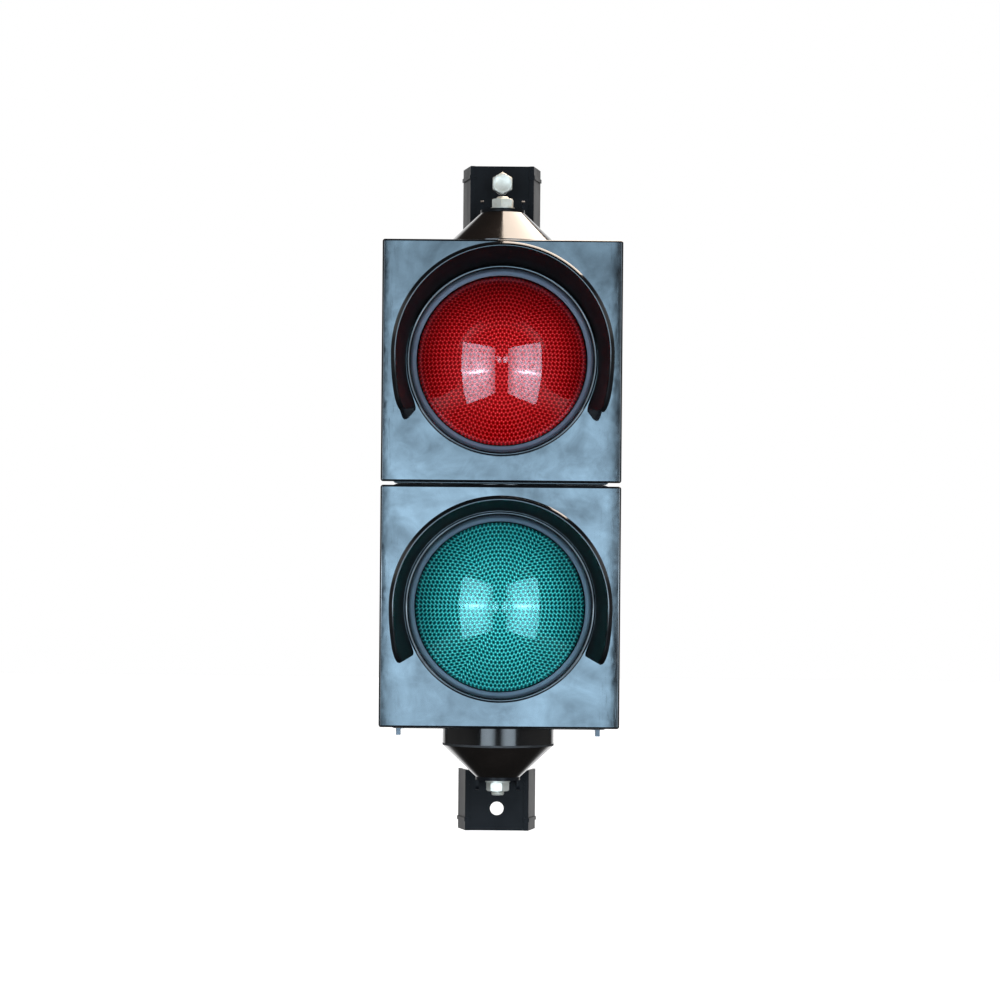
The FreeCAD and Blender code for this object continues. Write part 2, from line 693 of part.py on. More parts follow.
def flange(side, front, z0):
    """Flared side wall of the pole plate with a cross rib."""
    x = PLATE_W / 2
    rear = ARM_REACH + FLANGE_DEPTH
    wall = 3.5

    def prism(points, low, high):
        pts = [Vector(side * px, py, low) for px, py in points]
        face = Part.Face(Part.makePolygon(pts + pts[:1]))
        return face.extrude(Vector(0, 0, high - low))

    skin = prism([
        (x - wall, front),
        (x, front),
        (x + PLATE_FLARE, rear),
        (x + PLATE_FLARE - wall, rear),
    ], z0, PLATE_EDGE_OFFSET)
    rib_z = PLATE_EDGE_OFFSET - 13.5
    rib = prism([
        (x - 6.0, front - 2.6),
        (x + 0.8, front - 2.6),
        (x + PLATE_FLARE + 1.3, rear - 1.0),
        (x + PLATE_FLARE - 1.0, rear - 1.0),
        (x - 1.0, front + 1.0),
        (x - 6.0, front + 1.0),
    ], rib_z - 2.3, rib_z + 2.3)
    return fuse([skin, rib])


def pole_bolt():
    """Pole bolt standing loose in the upper plate, head to the front."""
    length = 70.0
    head_front = ARM_REACH - PLATE_T - POLE_HEAD_GAP
    plain = ARM_REACH - head_front
    shape = bolt(length)
    shape = shape.cut(ring_z(M16_R + 1, THREAD_R, plain, HEAD_H + length + 1))
    shape = shape.cut(ring_z(M16_R + 1, GROOVE_R, plain, plain + GROOVE_W))
    shape.rotate(Vector(0, 0, 0), X, -90)
    return moved(shape, 0, head_front, PLATE_BORE_OFFSET)


def backboard_lug(side):
    """Steel tab with a tapered foot, fixed to the end face of a body."""
    x = side * LUG_X
    tab = box(x - LUG_T / 2, x + LUG_T / 2, LUG_SCREW_Y - 10, LUG_SCREW_Y + 6, 0, LUG_H)
    inner = x - side * 35
    hole_x = side * LUG_SCREW_X
    y = LUG_SCREW_Y - 8
    pts = [Vector(x, y, 0), Vector(inner, y, 0), Vector(inner, y, 2.0), Vector(x, y, LUG_H / 2)]
    wedge = Part.Face(Part.makePolygon(pts + pts[:1])).extrude(Vector(0, 3.0, 0))
    foot = box(min(x, inner), max(x, inner), LUG_SCREW_Y - 10, LUG_SCREW_Y + 6, 0, LUG_FOOT_T)
    return fuse([tab, wedge, foot]).cut(rod(2.2, hole_x, LUG_SCREW_Y, -1, Z, 20))


def lug_screw(side):
    x = side * LUG_SCREW_X
    head = rod(3.4, x, LUG_SCREW_Y, LUG_FOOT_T, Z, 1.8)
    return fuse([head, rod(1.9, x, LUG_SCREW_Y, -WALL, Z, WALL + 2)])


def terminal_block():
    """Six-way block on the back wall of the lower body."""
    rear = BODY_REAR - WALL
    block = box(-42, 42, rear - 20, rear, -11, 11)
    for x in TERMINAL_X:
        block = block.cut(rod(3.2, x, rear - 21, 0, Y, 8))
        block = block.cut(rod(2.4, x, rear - 8, -12, Z, 9))
        block = block.cut(rod(2.4, x, rear - 8, 3, Z, 9))
    return block


def terminal_screws():
    rear = BODY_REAR - WALL
    screws = []
    for x in TERMINAL_X:
        head = rod(3.0, x, rear - 15, 0, Y, 2.0)
        slot = box(x - 4, x + 4, rear - 16, rear - 14.2, -SCREW_SLOT / 2, SCREW_SLOT / 2)
        screws.append(head.cut(slot))
    return Part.makeCompound(screws)


def grommet():
    """Rubber bush in the back wall, seen as a ring with a groove."""
    y_in = BODY_REAR - WALL - 3.0
    y_out = BODY_REAR + 3.0
    return turned_y([
        (CABLE_R, y_in),
        (GROMMET_R + 3, y_in),
        (GROMMET_R + 3, BODY_REAR - WALL),
        (GROMMET_R, BODY_REAR - WALL),
        (GROMMET_R, BODY_REAR),
        (GROMMET_R + 3, BODY_REAR),
        (GROMMET_R + 1.5, y_out),
        (CABLE_R, y_out),
    ])


# ---- assembly -----------------------------------------------------------------------
nodes = {}


def place(name, shape, z):
    nodes[name] = moved(shape, 0, -ARM_REACH, z)


def build_module(colour, z):
    shell = body()
    end = 1 if colour == "red" else -1
    for x in (-LUG_SCREW_X, LUG_SCREW_X):
        shell = shell.cut(rod(SCREW_R, x, LUG_SCREW_Y, end * (HALF - WALL / 2) - WALL, Z, 2 * WALL))
    if colour == "green":
        shell = shell.cut(rod(GROMMET_R, 0, BODY_REAR - 10, GROMMET_Z, Y, 20))
    place(colour + "_body", shell, z)
    makers = {
        "door": door,
        "door_gasket": door_gasket,
        "visor": visor,
        "visor_screws": visor_screws,
        "bezel": bezel,
        "lens": lens,
        "lens_gasket": lens_gasket,
        "lens_clips": lens_clips,
        "clip_screws": clip_screws,
        "insert_shell": insert_shell,
        "led_board": led_board,
        "leds": leds,
        "driver_board": driver_board,
        "hinge_pins": hinge_pins,
        "latch_screws": latch_screws,
    }
    for name, maker in makers.items():
        place(colour + "_" + name, maker(), z)
    place(colour + "_latch_top", latch(LATCH_Z), z)
    place(colour + "_latch_bottom", latch(-LATCH_Z), z)


def build_ends():
    # lower end: everything is turned upside down about the cone base
    place("lower_gasket", seat_gasket(BOSS_R, BOSS_R - 9, SEAT_GASKET, False), CONE_BASE_LOW)
    place("lower_cone", mirrored_z(cone(0)), CONE_BASE_LOW)
    place("lower_arm", mirrored_z(arm()), CONE_BASE_LOW)
    seat = CONE_H + ARM_FLOOR
    place("lower_washer", mirrored_z(washer()), CONE_BASE_LOW - seat)
    place("lower_nut", mirrored_z(nut(8.0)), CONE_BASE_LOW - seat - WASHER_T)
    head_top = BOSS_BOTTOM + FLOOR + WASHER_T + HEAD_H
    place("lower_swivel_bolt", mirrored_z(bolt(70.0)), head_top)
    place("lower_inner_washer", washer(), BOSS_BOTTOM + FLOOR)
    # upper end
    spigot = CONE_BASE_HIGH - (BODY_TOP - BOSS_H)
    place("upper_gasket", seat_gasket(BOSS_R, 12.0, JOINT_GASKET, True), BODY_TOP - BOSS_H - JOINT_GASKET)
    place("upper_cone", cone(spigot), CONE_BASE_HIGH)
    place("upper_arm", arm(), CONE_BASE_HIGH)
    place("upper_washer", washer(), CONE_BASE_HIGH + seat)
    place("upper_nut", nut(22.0), CONE_BASE_HIGH + seat + WASHER_T)
    floor_under = BODY_TOP - BOSS_H - JOINT_GASKET - FLOOR
    place("upper_inner_washer", washer(), floor_under - WASHER_T)
    place("upper_swivel_bolt", bolt(90.0), floor_under - WASHER_T - HEAD_H)
    place("upper_pole_bolt", pole_bolt(), CONE_BASE_HIGH)


def build_coupling():
    floor_top = SEAM - BOSS_H + FLOOR
    place("coupling_gasket", seat_gasket(BOSS_R - 1, 12.0, JOINT_GASKET, True), SEAM - BOSS_H - JOINT_GASKET)
    floor_under = SEAM - BOSS_H - JOINT_GASKET - FLOOR
    washers = [moved(washer(), 0, 0, floor_top), moved(washer(), 0, 0, floor_under - WASHER_T)]
    place("coupling_washers", Part.makeCompound(washers), 0)
    place("coupling_bolt", mirrored_z(bolt(35.0)), floor_top + WASHER_T + HEAD_H)
    place("coupling_nut", nut(), floor_under - WASHER_T - NUT_H)


def build_fittings():
    lugs = []
    screws = []
    for side in (-1, 1):
        lugs.append(moved(backboard_lug(side), 0, 0, BODY_TOP - BODY_GAP / 2))
        lugs.append(moved(mirrored_z(backboard_lug(-side)), 0, 0, BODY_BOTTOM + BODY_GAP / 2))
        screws.append(moved(lug_screw(side), 0, 0, BODY_TOP - BODY_GAP / 2))
        screws.append(moved(mirrored_z(lug_screw(-side)), 0, 0, BODY_BOTTOM + BODY_GAP / 2))
    place("backboard_lugs", Part.makeCompound(lugs), 0)
    place("lug_screws", Part.makeCompound(screws), 0)
    green = MODULES["green"]
    place("terminal_block", terminal_block(), green + TERMINAL_Z)
    place("terminal_screws", terminal_screws(), green + TERMINAL_Z)
    place("cable_grommet", grommet(), green + GROMMET_Z)


def main():
    os.makedirs("parts", exist_ok=True)
    for colour, z in MODULES.items():
        build_module(colour, z)
    build_ends()
    build_coupling()
    build_fittings()
    for name, shape in nodes.items():
        if not shape.isValid():
            print("invalid:", name)
        shape.exportStep("parts/" + name + ".step")
        b = shape.BoundBox
        print("%-22s solids %3d  x %7.1f..%7.1f  y %7.1f..%7.1f  z %7.1f..%7.1f" % (
            name, len(shape.Solids), b.XMin, b.XMax, b.YMin, b.YMax, b.ZMin, b.ZMax))


main()
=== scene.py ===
import json
import math

import bpy
import numpy as np
from mathutils import Matrix, Vector

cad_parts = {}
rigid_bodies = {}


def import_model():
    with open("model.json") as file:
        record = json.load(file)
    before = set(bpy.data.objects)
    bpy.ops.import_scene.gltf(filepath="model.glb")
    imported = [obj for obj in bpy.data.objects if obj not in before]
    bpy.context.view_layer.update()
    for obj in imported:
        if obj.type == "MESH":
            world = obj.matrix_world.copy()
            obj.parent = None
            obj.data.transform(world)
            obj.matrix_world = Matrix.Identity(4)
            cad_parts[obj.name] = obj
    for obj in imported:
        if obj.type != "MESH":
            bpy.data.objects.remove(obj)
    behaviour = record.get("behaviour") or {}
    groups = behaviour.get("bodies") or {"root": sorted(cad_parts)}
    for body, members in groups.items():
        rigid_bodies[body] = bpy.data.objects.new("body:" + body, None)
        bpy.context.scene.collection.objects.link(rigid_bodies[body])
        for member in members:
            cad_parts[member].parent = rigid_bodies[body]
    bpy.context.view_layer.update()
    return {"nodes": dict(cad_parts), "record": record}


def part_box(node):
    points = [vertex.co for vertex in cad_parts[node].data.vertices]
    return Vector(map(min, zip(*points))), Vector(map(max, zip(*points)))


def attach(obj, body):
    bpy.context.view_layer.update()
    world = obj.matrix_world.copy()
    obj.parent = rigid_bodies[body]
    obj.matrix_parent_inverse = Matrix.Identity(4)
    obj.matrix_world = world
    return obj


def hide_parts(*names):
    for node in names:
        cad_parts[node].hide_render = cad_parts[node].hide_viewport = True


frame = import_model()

# Looks of a two-aspect traffic signal head: red over green, glossy black plastic, two pole brackets.
# Metres, in the CAD frame: the lenses look along -Y and +Z is up.

MM = 0.001
COLOURS = ("red", "green")

# ---- lens -------------------------------------------------------------------------
LENS_VISIBLE_R = 99.8 * MM
LENS_FLANGE = 2.6 * MM
SHELL_T = 0.8 * MM          # smooth outer skin
OPTIC_GAP = 0.25 * MM       # skin to the lenslet plate
OPTIC_T = 1.4 * MM
LENSLET_RINGS = 21          # ring k holds 6 k lenslets
LENSLET_STEPS = 5           # mesh rings per lenslet ring
LENSLET_DEPTH = 0.45 * MM
SKIN_MIRROR = 0.052         # share of light that polycarbonate mirrors head on
PLATE_EDGE = 1.2 * MM       # gap between the lenslet plate and the visible edge
BULLS_EYE = {"red": (16 * MM, 5.5 * MM), "green": (24 * MM, 7.5 * MM)}    # curvature, radius
TOP_PAINTED_SHADE = {"red": 0.42, "green": 0.9}                                     # share of the tint left at the lens's top: painted shade, darker towards the top
LENS_TINTS_AND_PAINTED_LIGHT = {
    # pit, middle, ridge, crest: the tint with painted shade in the pits and painted highlight on the ridges
    # and crests; what the skin lets through; what it mirrors
    "red": (((0.088, 0.0003, 0.0006), (0.20, 0.0006, 0.0012), (0.42, 0.0020, 0.0032), (0.88, 0.10, 0.11)),
            (0.98, 0.86, 0.86), (0.96, 0.94, 1.0)),
    "green": (((0.001, 0.011, 0.012), (0.003, 0.062, 0.060), (0.022, 0.32, 0.30), (0.32, 0.95, 0.88)),
              (0.86, 0.98, 0.98), (0.52, 1.0, 1.0)),
}

# ---- visor ------------------------------------------------------------------------
VISOR_ROOT = 112.4 * MM     # inner radius on the door
VISOR_MOUTH = 121.4 * MM    # inner radius at the rim
VISOR_WALL = 2.6 * MM
VISOR_BEAD = 2.9 * MM
VISOR_LAND = 0.7 * MM       # flat front of the rim, just outside the inner lip
VISOR_BEVEL = 1.7           # 1 would be a quarter ellipse outside the land, 2 a straight bevel
VISOR_SWEEP = math.radians(238)
VISOR_DROP = 0.045          # how far the rim widens 22.5 degrees below the lens's middle
VISOR_END = 20 * MM         # radius of the free ends' corners
VISOR_INNER = 13            # outline points along the inner wall
VISOR_STATIONS = (18, 120)  # mesh steps along a rounded end and along the arc between them
VISOR_TABS = (10, 90, 170)  # degrees round the lens
TAB_R = 119.5 * MM
TAB_T = 3.0 * MM
TAB_HALF = 7.0 * MM
TAB_HOLE = 2.25 * MM

# ---- collar -----------------------------------------------------------------------
COLLAR = (107.5 * MM, 112.0 * MM)
COLLAR_LIP = 1.5 * MM

# ---- bolts ------------------------------------------------------------------------
M16_R = 8.0 * MM
M16_CREST = 7.95 * MM       # thread crests
M16_TIP = 6.5 * MM          # end of the chamfered tip
M16_PITCH = 2.0 * MM
HEX_AF = 24.0 * MM
HEAD_H = 10.0 * MM
POLE_BOLT_NECK = (6.8 * MM, 2.0 * MM)    # run-out groove: radius, width

# ---- studio -----------------------------------------------------------------------
CAMERA_AT = (-0.026, -3.254, 0.2715)
CAMERA_LENS = 93.85
CAMERA_SHIFT = (0.0222, 0.0905)
CAMERA_LEAN = math.radians(0.5)
FLOOR_Z = -0.85
FLOOR_SIDE = 30.0
SOFTBOX_INNER = (0.287, -2.965)          # x and y of the edge next to the camera
SOFTBOX_OUTER = (1.204, -1.827)
SOFTBOX_Z = (-0.82, 1.24)
SOFTBOX_COLOUR = (0.80, 0.97, 1.12)
SOFTBOX_STRENGTH = 6.1
SOFTBOX_CORE_Z = 0.27                    # height of the bright core
TOP_LIGHT = ((0.66, 0.62, 2.02), 1.30, 1.90)    # middle, width, depth
TOP_LIGHT_RADIANCE = 13.0
TOP_LIGHT_COLOUR = (1.0, 0.84, 0.70)
CARD_Y = -4.25
CARD_X = (-0.30, 0.36)
CARD_Z = (-0.14, 1.26)
CARD_COLOUR = (0.43, 0.68, 0.90)
SPARED_BY_CARD = ("_lens_skin", "_body", "_arm", "_cone", "_screws", "_nut", "_washer", "_bolt")


# ==== materials ====================================================================
def material(name):
    mat = bpy.data.materials.new(name)
    mat.use_nodes = True
    tree = mat.node_tree
    return mat, tree, tree.nodes["Principled BSDF"]


def node(tree, kind, inputs=None, **settings):
    """Adds a node. Inputs are values or the sockets that feed them."""
    n = tree.nodes.new(kind)
    for key, value in settings.items():
        setattr(n, key, value)
    for key, value in (inputs or {}).items():
        if isinstance(value, bpy.types.NodeSocket):
            tree.links.new(value, n.inputs[key])
        else:
            n.inputs[key].default_value = value
    return n


def place(tree, stretch=(1, 1, 1), shift=(0, 0, 0)):
    """Object coordinates in metres, stretched so that a grain can run one way."""
    where = node(tree, "ShaderNodeTexCoord").outputs["Object"]
    mapping = node(tree, "ShaderNodeMapping", {"Vector": where, "Scale": stretch, "Location": shift})
    return mapping.outputs["Vector"]


def noise(tree, where, scale, detail=4.0, roughness=0.55, warp=0.0):
    inputs = {"Vector": where, "Scale": scale, "Detail": detail, "Roughness": roughness, "Distortion": warp}
    return node(tree, "ShaderNodeTexNoise", inputs).outputs["Fac"]


def ramp(tree, fac, stops):
    """Colour ramp of (position, colour) stops."""
    n = node(tree, "ShaderNodeValToRGB", {"Fac": fac})
    elements = n.color_ramp.elements
    while len(elements) < len(stops):
        elements.new(0.5)
    for element, (position, colour) in zip(elements, stops):
        element.position = position
        element.color = (*colour, 1.0)
    return n.outputs["Color"]


def remap(tree, value, low, high, to_low, to_high):
    inputs = {"Value": value, "From Min": low, "From Max": high, "To Min": to_low, "To Max": to_high}
    return node(tree, "ShaderNodeMapRange", inputs).outputs["Result"]


def math_node(tree, operation, a, b=0.0):
    return node(tree, "ShaderNodeMath", {0: a, 1: b}, operation=operation).outputs["Value"]


def times(tree, a, b):
    return math_node(tree, "MULTIPLY", a, b)


def plus(tree, a, b):
    return math_node(tree, "ADD", a, b)


def times_colour(tree, colour, factor):
    return node(tree, "ShaderNodeVectorMath", {0: colour, 1: factor}, operation="MULTIPLY").outputs[0]


def bump(tree, shader, height, distance):
    """Adds height to whatever relief the shader already has."""
    inputs = {"Height": height, "Distance": distance, "Strength": 1.0}
    if shader.inputs["Normal"].is_linked:
        inputs["Normal"] = shader.inputs["Normal"].links[0].from_socket
    n = node(tree, "ShaderNodeBump", inputs)
    tree.links.new(n.outputs["Normal"], shader.inputs["Normal"])


def tinted(colour, factor):
    return tuple(c * factor for c in colour)


def black_plastic(name, colour, gloss, wave, haze=0.06, scratches=0.25, mirror=0.5):
    """Moulded black plastic: faint flow clouding, handling haze, fine scratches and a slow wave."""
    mat, tree, shader = material(name)
    where = place(tree)
    cloud = noise(tree, where, 14.0, 5.0)
    tree.links.new(
        ramp(tree, cloud, ((0.32, tinted(colour, 0.7)), (0.68, tinted(colour, 1.5)))),
        shader.inputs["Base Color"])
    smear = noise(tree, place(tree, (1.0, 1.0, 0.35), (0.3, 0.0, 0.1)), 32.0, 7.0, 0.6, 0.8)
    hairs = noise(tree, place(tree, (9.0, 9.0, 0.5), (0.0, 0.2, 0.0)), 55.0, 3.0, 0.5, 1.2)
    hairs = remap(tree, hairs, 0.62, 0.72, 0.0, scratches)
    rough = remap(tree, smear, 0.35, 0.75, gloss, gloss + haze)
    rough = plus(tree, rough, times(tree, hairs, 0.16))
    tree.links.new(rough, shader.inputs["Roughness"])
    shader.inputs["Specular IOR Level"].default_value = mirror
    bump(tree, shader, noise(tree, where, 38.0, 2.0), wave)
    bump(tree, shader, hairs, 0.000012)
    return mat


def door_plastic(name, colour):
    """Polished black plastic whose shine is uneven, in soft clouds and wiped streaks."""
    mat = black_plastic(name, colour, 0.022, 0.00002, haze=0.035, scratches=0.08)
    tree = mat.node_tree
    clouds = noise(tree, place(tree), 12.0, 4.0, 0.55, 0.9)
    wiped = noise(tree, place(tree, (0.8, 1.0, 1.0)), 35.0, 5.0, 0.6, 1.2)
    mixed = plus(tree, times(tree, clouds, 0.7), times(tree, wiped, 0.3))
    tree.links.new(remap(tree, mixed, 0.36, 0.63, 0.32, 0.70),
                   tree.nodes["Principled BSDF"].inputs["Specular IOR Level"])
    return mat


def visor_plastic(name, colour):
    """Glossy black outside and on the rim, matt inside: the mesh says which is which."""
    mat = black_plastic(name, colour, 0.07, 0.00004, haze=0.04)
    tree = mat.node_tree
    shader = tree.nodes["Principled BSDF"]
    inside = node(tree, "ShaderNodeAttribute", attribute_name="inside").outputs["Fac"]
    glossy = shader.inputs["Roughness"].links[0].from_socket
    grain = noise(tree, place(tree), 900.0, 2.0)
    matt = times(tree, inside, remap(tree, grain, 0.3, 0.7, 0.42, 0.52))
    tree.links.new(plus(tree, glossy, matt), shader.inputs["Roughness"])
    tree.links.new(remap(tree, inside, 0.0, 1.0, 0.5, 0.10), shader.inputs["Specular IOR Level"])
    return mat


def lens_centre(colour):
    low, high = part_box(colour + "_lens")
    return (low + high) / 2


def lens_radius(tree):
    """Distance in x and z from the nearer lens axis."""
    centres = [lens_centre(colour).z for colour in COLOURS]
    axes = node(tree, "ShaderNodeSeparateXYZ", {0: place(tree)}).outputs
    z = math_node(tree, "ABSOLUTE", math_node(tree, "SUBTRACT", axes["Z"], sum(centres) / 2))
    z = math_node(tree, "SUBTRACT", z, abs(centres[0] - centres[1]) / 2)
    squares = plus(tree, times(tree, axes["X"], axes["X"]), times(tree, z, z))
    return math_node(tree, "SQRT", squares)


def satin_ring(name):
    """Grey moulded trim with a satin grain; its outer band is darkened as painted shade, so the inner band
    looks lit.
    """
    mat, tree, shader = material(name)
    where = place(tree)
    grain = noise(tree, where, 900.0, 3.0)
    cloud = noise(tree, where, 22.0, 5.0)
    tone = ramp(tree, cloud, ((0.3, (0.085, 0.112, 0.150)), (0.7, (0.125, 0.165, 0.215))))
    # painted shade: the outer band of the ring is darkened to 0.3 of its tone
    outer = remap(tree, lens_radius(tree), 0.1035, 0.1050, 1.0, 0.30)
    tree.links.new(times_colour(tree, tone, outer), shader.inputs["Base Color"])
    tree.links.new(remap(tree, grain, 0.3, 0.7, 0.26, 0.40), shader.inputs["Roughness"])
    bump(tree, shader, grain, 0.00002)
    return mat


def rubber(name):
    mat, tree, shader = material(name)
    grain = noise(tree, place(tree), 1400.0, 4.0)
    dust = noise(tree, place(tree), 60.0, 6.0)
    tree.links.new(
        ramp(tree, dust, ((0.4, (0.010, 0.010, 0.011)), (0.75, (0.034, 0.033, 0.031)))),
        shader.inputs["Base Color"])
    tree.links.new(remap(tree, dust, 0.3, 0.7, 0.55, 0.8), shader.inputs["Roughness"])
    bump(tree, shader, grain, 0.00004)
    return mat


def plated_steel(name, pale, yellow, rough, metal, grain_scale=420.0):
    """Zinc plate: turned grain, faint yellow passivation, dull spots."""
    mat, tree, shader = material(name)
    shader.inputs["Metallic"].default_value = metal
    cloud = noise(tree, place(tree), 160.0, 6.0, 0.6)
    tree.links.new(
        ramp(tree, cloud, ((0.36, pale), (0.6, tinted(pale, 0.86)), (0.78, yellow))),
        shader.inputs["Base Color"])
    grain = noise(tree, place(tree, (1.0, 1.0, 14.0)), grain_scale, 3.0)
    tree.links.new(remap(tree, cloud, 0.3, 0.75, rough, rough + 0.22), shader.inputs["Roughness"])
    bump(tree, shader, grain, 0.00003)
    return mat


def moulded_grey(name, colour):
    """Unpainted inner moulding with a fine spark-eroded grain."""
    mat, tree, shader = material(name)
    cloud = noise(tree, place(tree), 25.0, 5.0)
    grain = noise(tree, place(tree), 2200.0, 2.0)
    tree.links.new(
        ramp(tree, cloud, ((0.3, tinted(colour, 0.85)), (0.7, tinted(colour, 1.12)))),
        shader.inputs["Base Color"])
    tree.links.new(remap(tree, grain, 0.3, 0.7, 0.42, 0.58), shader.inputs["Roughness"])
    bump(tree, shader, grain, 0.00004)
    return mat


def circuit_board(name):
    """Green solder mask over copper tracks."""
    mat, tree, shader = material(name)
    where = place(tree)
    tracks = node(tree, "ShaderNodeTexVoronoi", {"Vector": where, "Scale": 130.0, "Randomness": 0.7},
                  feature="F1", distance="CHEBYCHEV").outputs["Distance"]
    tree.links.new(
        ramp(tree, tracks, ((0.0, (0.30, 0.27, 0.12)), (0.12, (0.015, 0.13, 0.055)),
                            (0.45, (0.010, 0.085, 0.035)), (0.62, (0.020, 0.16, 0.07)))),
        shader.inputs["Base Color"])
    speck = noise(tree, where, 500.0, 3.0)
    tree.links.new(remap(tree, speck, 0.3, 0.7, 0.25, 0.45), shader.inputs["Roughness"])
    bump(tree, shader, tracks, 0.00006)
    return mat


def lamp_epoxy(name):
    mat, tree, shader = material(name)
    swirl = noise(tree, place(tree), 700.0, 3.0)
    tree.links.new(
        ramp(tree, swirl, ((0.3, (0.62, 0.66, 0.68)), (0.7, (0.88, 0.88, 0.80)))),
        shader.inputs["Base Color"])
    tree.links.new(remap(tree, swirl, 0.3, 0.7, 0.05, 0.18), shader.inputs["Roughness"])
    shader.inputs["Coat Weight"].default_value = 0.6
    return mat


def lens_skin(name, through, mirror):
    """The clear tinted outer skin: what is behind shows through, and the studio mirrors in it."""
    mat, tree, shader = material(name)
    tree.nodes.remove(shader)
    dust = noise(tree, place(tree), 160.0, 7.0, 0.65)
    fine = noise(tree, place(tree, (1.0, 1.0, 0.3)), 30.0, 5.0)
    clear = node(tree, "ShaderNodeBsdfTransparent", {"Color": (*through, 1.0)})
    rough = plus(tree, remap(tree, dust, 0.4, 0.75, 0.01, 0.035), remap(tree, fine, 0.4, 0.7, 0.0, 0.02))
    relief = {"Height": noise(tree, place(tree), 330.0, 2.0), "Distance": 0.000006, "Strength": 1.0}
    frost = node(tree, "ShaderNodeBump", relief).outputs["Normal"]
    gloss = node(tree, "ShaderNodeBsdfAnisotropic",
                 {"Color": (*mirror, 1.0), "Roughness": rough, "Normal": frost})
    # each of the skin's two faces gives half of the mirror image
    tilt = node(tree, "ShaderNodeLayerWeight", {"Blend": 0.5}).outputs["Facing"]
    grazing = times(tree, math_node(tree, "POWER", tilt, 5.0), 0.45)
    grain = node(tree, "ShaderNodeTexVoronoi", {"Vector": place(tree), "Scale": 240.0}).outputs["Distance"]
    share = times(tree, remap(tree, grain, 0.10, 0.62, 0.62, 1.38), SKIN_MIRROR / 2)
    share = plus(tree, grazing, share)
    mixed = node(tree, "ShaderNodeMixShader", {0: share, 1: clear.outputs[0], 2: gloss.outputs[0]})
    tree.links.new(mixed.outputs[0], tree.nodes["Material Output"].inputs["Surface"])
    return mat


def lenslets(name, pit, mid, ridge, crest, centre_z, top_shade_share):
    """Lenslets in their tint, with painted shade in the pits and painted highlight on the crests: the mesh
    says how far each point is from its lenslet's middle.

    Painted shade darkens them towards the top, down to the share given, and a painted glow makes them
    brightest about the middle."""
    mat, tree, shader = material(name)
    away = node(tree, "ShaderNodeAttribute", attribute_name="lenslet").outputs["Fac"]
    uneven = noise(tree, place(tree), 300.0, 3.0)
    away = plus(tree, away, remap(tree, uneven, 0.2, 0.8, -0.035, 0.035))
    # lenslet tint, darkened as painted shade in the pits and whitened as painted highlight on the ridges and
    # crests
    lenslet_colour_and_painted_light = ramp(tree, away, ((0.12, pit), (0.30, mid), (0.45, ridge), (0.56, crest)))
    # painted shade: the colour darkens towards the lens's top, where the visor shades it
    height = node(tree, "ShaderNodeSeparateXYZ", {0: place(tree)}).outputs["Z"]
    depth = remap(tree, height, centre_z + 0.03, centre_z + 0.09, 1.0, top_shade_share)
    # painted glow: the colour is brightened up to 1.3 times about the lens's middle
    middle = {0: place(tree), 1: (0.0, -0.21, centre_z)}
    spread = node(tree, "ShaderNodeVectorMath", middle, operation="DISTANCE").outputs["Value"]
    depth = times(tree, depth, remap(tree, spread, 0.022, 0.085, 1.30, 1.0))
    tree.links.new(times_colour(tree, lenslet_colour_and_painted_light, depth), shader.inputs["Base Color"])
    tree.links.new(remap(tree, uneven, 0.2, 0.8, 0.30, 0.42), shader.inputs["Roughness"])
    shader.inputs["Specular IOR Level"].default_value = 0.06
    return mat


# ==== meshes =======================================================================
def mesh_object(name, points, faces, body, finish):
    """A piece from points and faces, riding on a CAD body and wearing a finish."""
    mesh = bpy.data.meshes.new(name)
    mesh.from_pydata([tuple(p) for p in points], [], faces)
    mesh.validate()
    mesh.update()
    mesh.shade_smooth()
    piece = bpy.data.objects.new(name, mesh)
    bpy.context.scene.collection.objects.link(piece)
    mesh.materials.append(finish)
    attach(piece, body)
    return piece


def point_values(piece, name, values):
    """Stores a number at each point of the mesh, for its material."""
    attribute = piece.data.attributes.new(name, "FLOAT", "POINT")
    attribute.data.foreach_set("value", np.array(values, np.float32))


def sharpen(piece, degrees):
    """Shades edges over that angle as sharp."""
    piece.data.set_sharp_from_angle(angle=math.radians(degrees))


def strip(a, b):
    """Triangles between two closed rings of point numbers that start at the same angle."""
    faces = []
    i = j = 0
    while i < len(a) or j < len(b):
        step_a = (i + 1) / len(a)
        step_b = (j + 1) / len(b)
        if j >= len(b) or (i < len(a) and step_a <= step_b):
            faces.append((a[i % len(a)], a[(i + 1) % len(a)], b[j % len(b)]))
            i += 1
        else:
            faces.append((a[i % len(a)], b[(j + 1) % len(b)], b[j % len(b)]))
            j += 1
    return faces


def turned(profile, segments, centre):
    """Points and faces of a closed (radius, y) outline turned about the lens axis at centre."""
    points = []
    faces = []
    count = len(profile)
    for s in range(segments):
        a = 2 * math.pi * s / segments
        for r, y in profile:
            points.append((centre.x + r * math.cos(a), y, centre.z + r * math.sin(a)))
    for s in range(segments):
        n = (s + 1) % segments
        for i in range(count):
            k = (i + 1) % count
            faces.append((s * count + i, s * count + k, n * count + k, n * count + i))
    return points, faces


def dome_y(r, apex, curve):
    return apex + curve - math.sqrt(curve * curve - r * r)


def dome(radii, apex, curve):
    return [(r, dome_y(r, apex, curve)) for r in radii]


# ---- lens pieces ------------------------------------------------------------------
def lens_measures(colour):
    """Centre, apex, dome radius, rim and flange radius, read from the CAD lens."""
    low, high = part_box(colour + "_lens")
    apex = low.y
    rim = high.y - LENS_FLANGE
    drop = rim - apex
    curve = (LENS_VISIBLE_R ** 2 + drop ** 2) / (2 * drop)
    return lens_centre(colour), apex, curve, rim, (high.x - low.x) / 2


